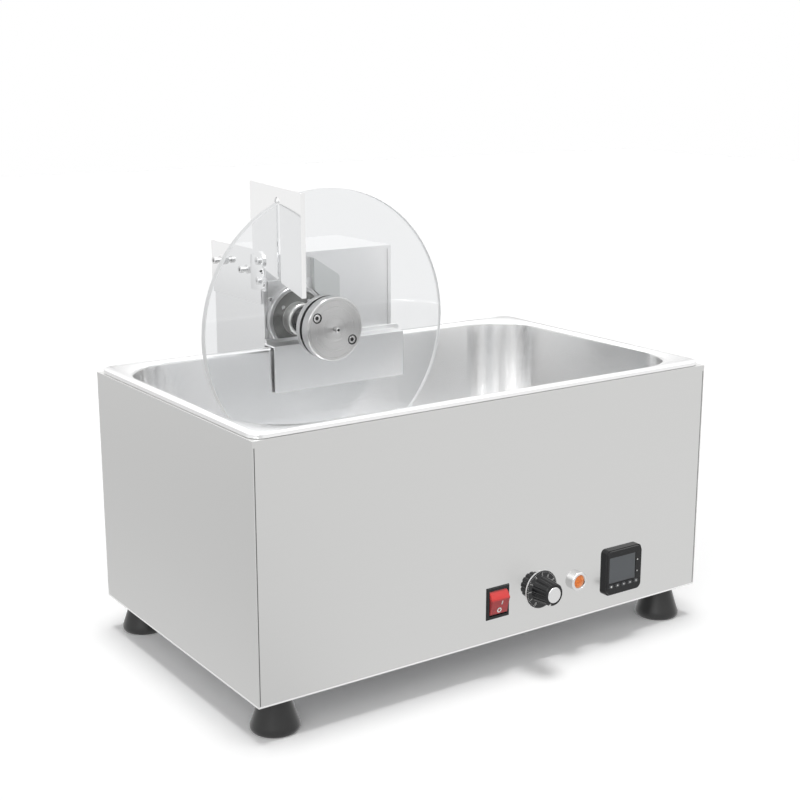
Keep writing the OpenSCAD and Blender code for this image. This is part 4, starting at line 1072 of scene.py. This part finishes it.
def dialNumbers():
    numbers = bmesh.new()
    for number in range(dialScale["highestNumber"] + 1):
        turn = math.radians(dialScale["sweep"] * (number / dialScale["highestNumber"] - 0.5))
        mesh = letterMesh(str(number), dialScale["numberHeight"], dialScale["inkHeight"])
        stand(mesh, turn, roundDial(turn, dialScale["numberRadius"], skirtFront))
        numbers.from_mesh(mesh)
    bmesh.ops.remove_doubles(numbers, verts=numbers.verts, dist=dialScale["joinWithin"])
    finishedPart("dialNumbers", numbers, otherFinishes["print"], "dial")


dialNumbers()
print("dial numbers printed")

# The floor and the light: a plain white ground that keeps a short shadow under the cabinet.
# Sizes and places in metres, angles in degrees; the sky's heights are those of its ramp, 0 level
# and 1 overhead, and what metal sees of the floor goes by the place along X
studio = {
    "floorSize": 12.0,
    "floorLift": 0.1,
    "floorGloss": ((-1.3, "ffffff"), (-0.7, "dadada"), (-0.1, "fafafa"), (0.6, "fcfcfc")),
    "skyForDiffuse": 0.4,
    "skyGloss": 1.45,
    "skyStops": ((0.0, "d2d2d2"), (0.12, "c9c9c9"), (0.5, "ffffff")),
    "topSun": 1.45,
    "topSunAngle": 16,
    "topSunFrom": (0.0, 0.0, 1.0),
    "sideSun": 0.5,
    "sideSunAngle": 40,
    "sideSunFrom": (-0.9, -0.8, 0.9),
}


def seenStraight(tree, path):
    return calc(tree, "MAXIMUM", links={0: path["Is Camera Ray"], 1: path["Is Transmission Ray"]})


# Light that a dull surface gets by way of a shiny one counts as plain light
def seenInMetal(tree, path):
    first = calc(tree, "LESS_THAN", {1: 0.5}, {0: path["Diffuse Depth"]})
    return calc(tree, "MULTIPLY", links={0: path["Is Glossy Ray"], 1: first})


# A ramp through these stops, each a place and a colour; the ramp itself reaches over this span
def colorRamp(tree, source, stops, span):
    low, high = span
    first, *between, last = [((place - low) / (high - low), srgb(color)) for place, color in stops]
    ramp = addNode(tree, "ShaderNodeValToRGB", links={0: source})
    elements = ramp.color_ramp.elements
    elements[0].position, elements[0].color = first
    elements[1].position, elements[1].color = last
    for place, color in between:
        elements.new(place).color = color
    return ramp.outputs[0]


def addSky():
    world = bpy.data.worlds.new("studioSky")
    bpy.context.scene.world = world
    world.use_nodes = True
    tree = world.node_tree
    tree.nodes.clear()
    direction = addNode(tree, "ShaderNodeTexCoord").outputs["Generated"]
    height = addNode(tree, "ShaderNodeSeparateXYZ", links={0: direction}).outputs["Z"]
    color = colorRamp(tree, height, studio["skyStops"], (0.0, 1.0))
    gain = studio["skyGloss"]
    mirrored = calcVector(tree, "MULTIPLY", {1: (gain, gain, gain)}, {0: color})
    path = addNode(tree, "ShaderNodeLightPath").outputs
    plain = studio["skyForDiffuse"]
    lit = addNode(
        tree, "ShaderNodeMix", {"data_type": "RGBA", 6: (plain, plain, plain, 1)},
        {0: seenInMetal(tree, path), 7: mirrored}
    ).outputs[2]
    seen = addNode(
        tree, "ShaderNodeMix", {"data_type": "RGBA", 7: white}, {0: seenStraight(tree, path), 6: lit}
    ).outputs[2]
    sky = addNode(tree, "ShaderNodeBackground", {"Strength": 1.0}, {"Color": seen}).outputs[0]
    addNode(tree, "ShaderNodeOutputWorld", links={"Surface": sky})


# White paper that a camera and clear things see as plain white, and metal as a soft ramp
def groundPaper():
    made = bpy.data.materials.new("whitePaperGround")
    made.use_nodes = True
    tree = made.node_tree
    tree.nodes.clear()
    path = addNode(tree, "ShaderNodeLightPath").outputs
    lift = calc(tree, "MULTIPLY", {1: studio["floorLift"]}, {0: seenStraight(tree, path)})
    paper = addNode(tree, "ShaderNodeBsdfDiffuse", {"Color": white}).outputs[0]
    glow = addNode(tree, "ShaderNodeEmission", {"Color": white}, {"Strength": lift}).outputs[0]
    both = addNode(tree, "ShaderNodeAddShader", links={0: paper, 1: glow}).outputs[0]
    across = addNode(tree, "ShaderNodeSeparateXYZ", links={0: objectPlace(tree)}).outputs["X"]
    stops = studio["floorGloss"]
    span = (stops[0][0], stops[-1][0])
    share = addNode(
        tree, "ShaderNodeMapRange", {"From Min": span[0], "From Max": span[1]}, {"Value": across}
    ).outputs[0]
    color = colorRamp(tree, share, stops, span)
    mirrored = addNode(tree, "ShaderNodeEmission", {"Strength": 1.0}, {"Color": color}).outputs[0]
    ground = addNode(
        tree, "ShaderNodeMixShader", links={0: seenInMetal(tree, path), 1: both, 2: mirrored}
    ).outputs[0]
    addNode(tree, "ShaderNodeOutputMaterial", links={"Surface": ground})
    return made


def addFloor():
    half = studio["floorSize"] / 2
    mesh = bpy.data.meshes.new("whiteFloor")
    corners = [(-half, -half, 0), (half, -half, 0), (half, half, 0), (-half, half, 0)]
    mesh.from_pydata(corners, [], [(0, 1, 2, 3)])
    floor = showMesh("whiteFloor", mesh)
    paint(floor, groundPaper())


def addSun(name, strength, angle, source):
    data = bpy.data.lights.new(name, "SUN")
    data.energy = strength
    data.angle = math.radians(angle)
    lamp = bpy.data.objects.new(name, data)
    lamp.rotation_euler = (-Vector(source)).to_track_quat("-Z", "Y").to_euler()
    bpy.context.scene.collection.objects.link(lamp)


addSky()
addFloor()
addSun("topLight", studio["topSun"], studio["topSunAngle"], studio["topSunFrom"])
addSun("sideLight", studio["sideSun"], studio["sideSunAngle"], studio["sideSunFrom"])
bpy.context.scene.view_settings.view_transform = "Standard"
print("studio lit")
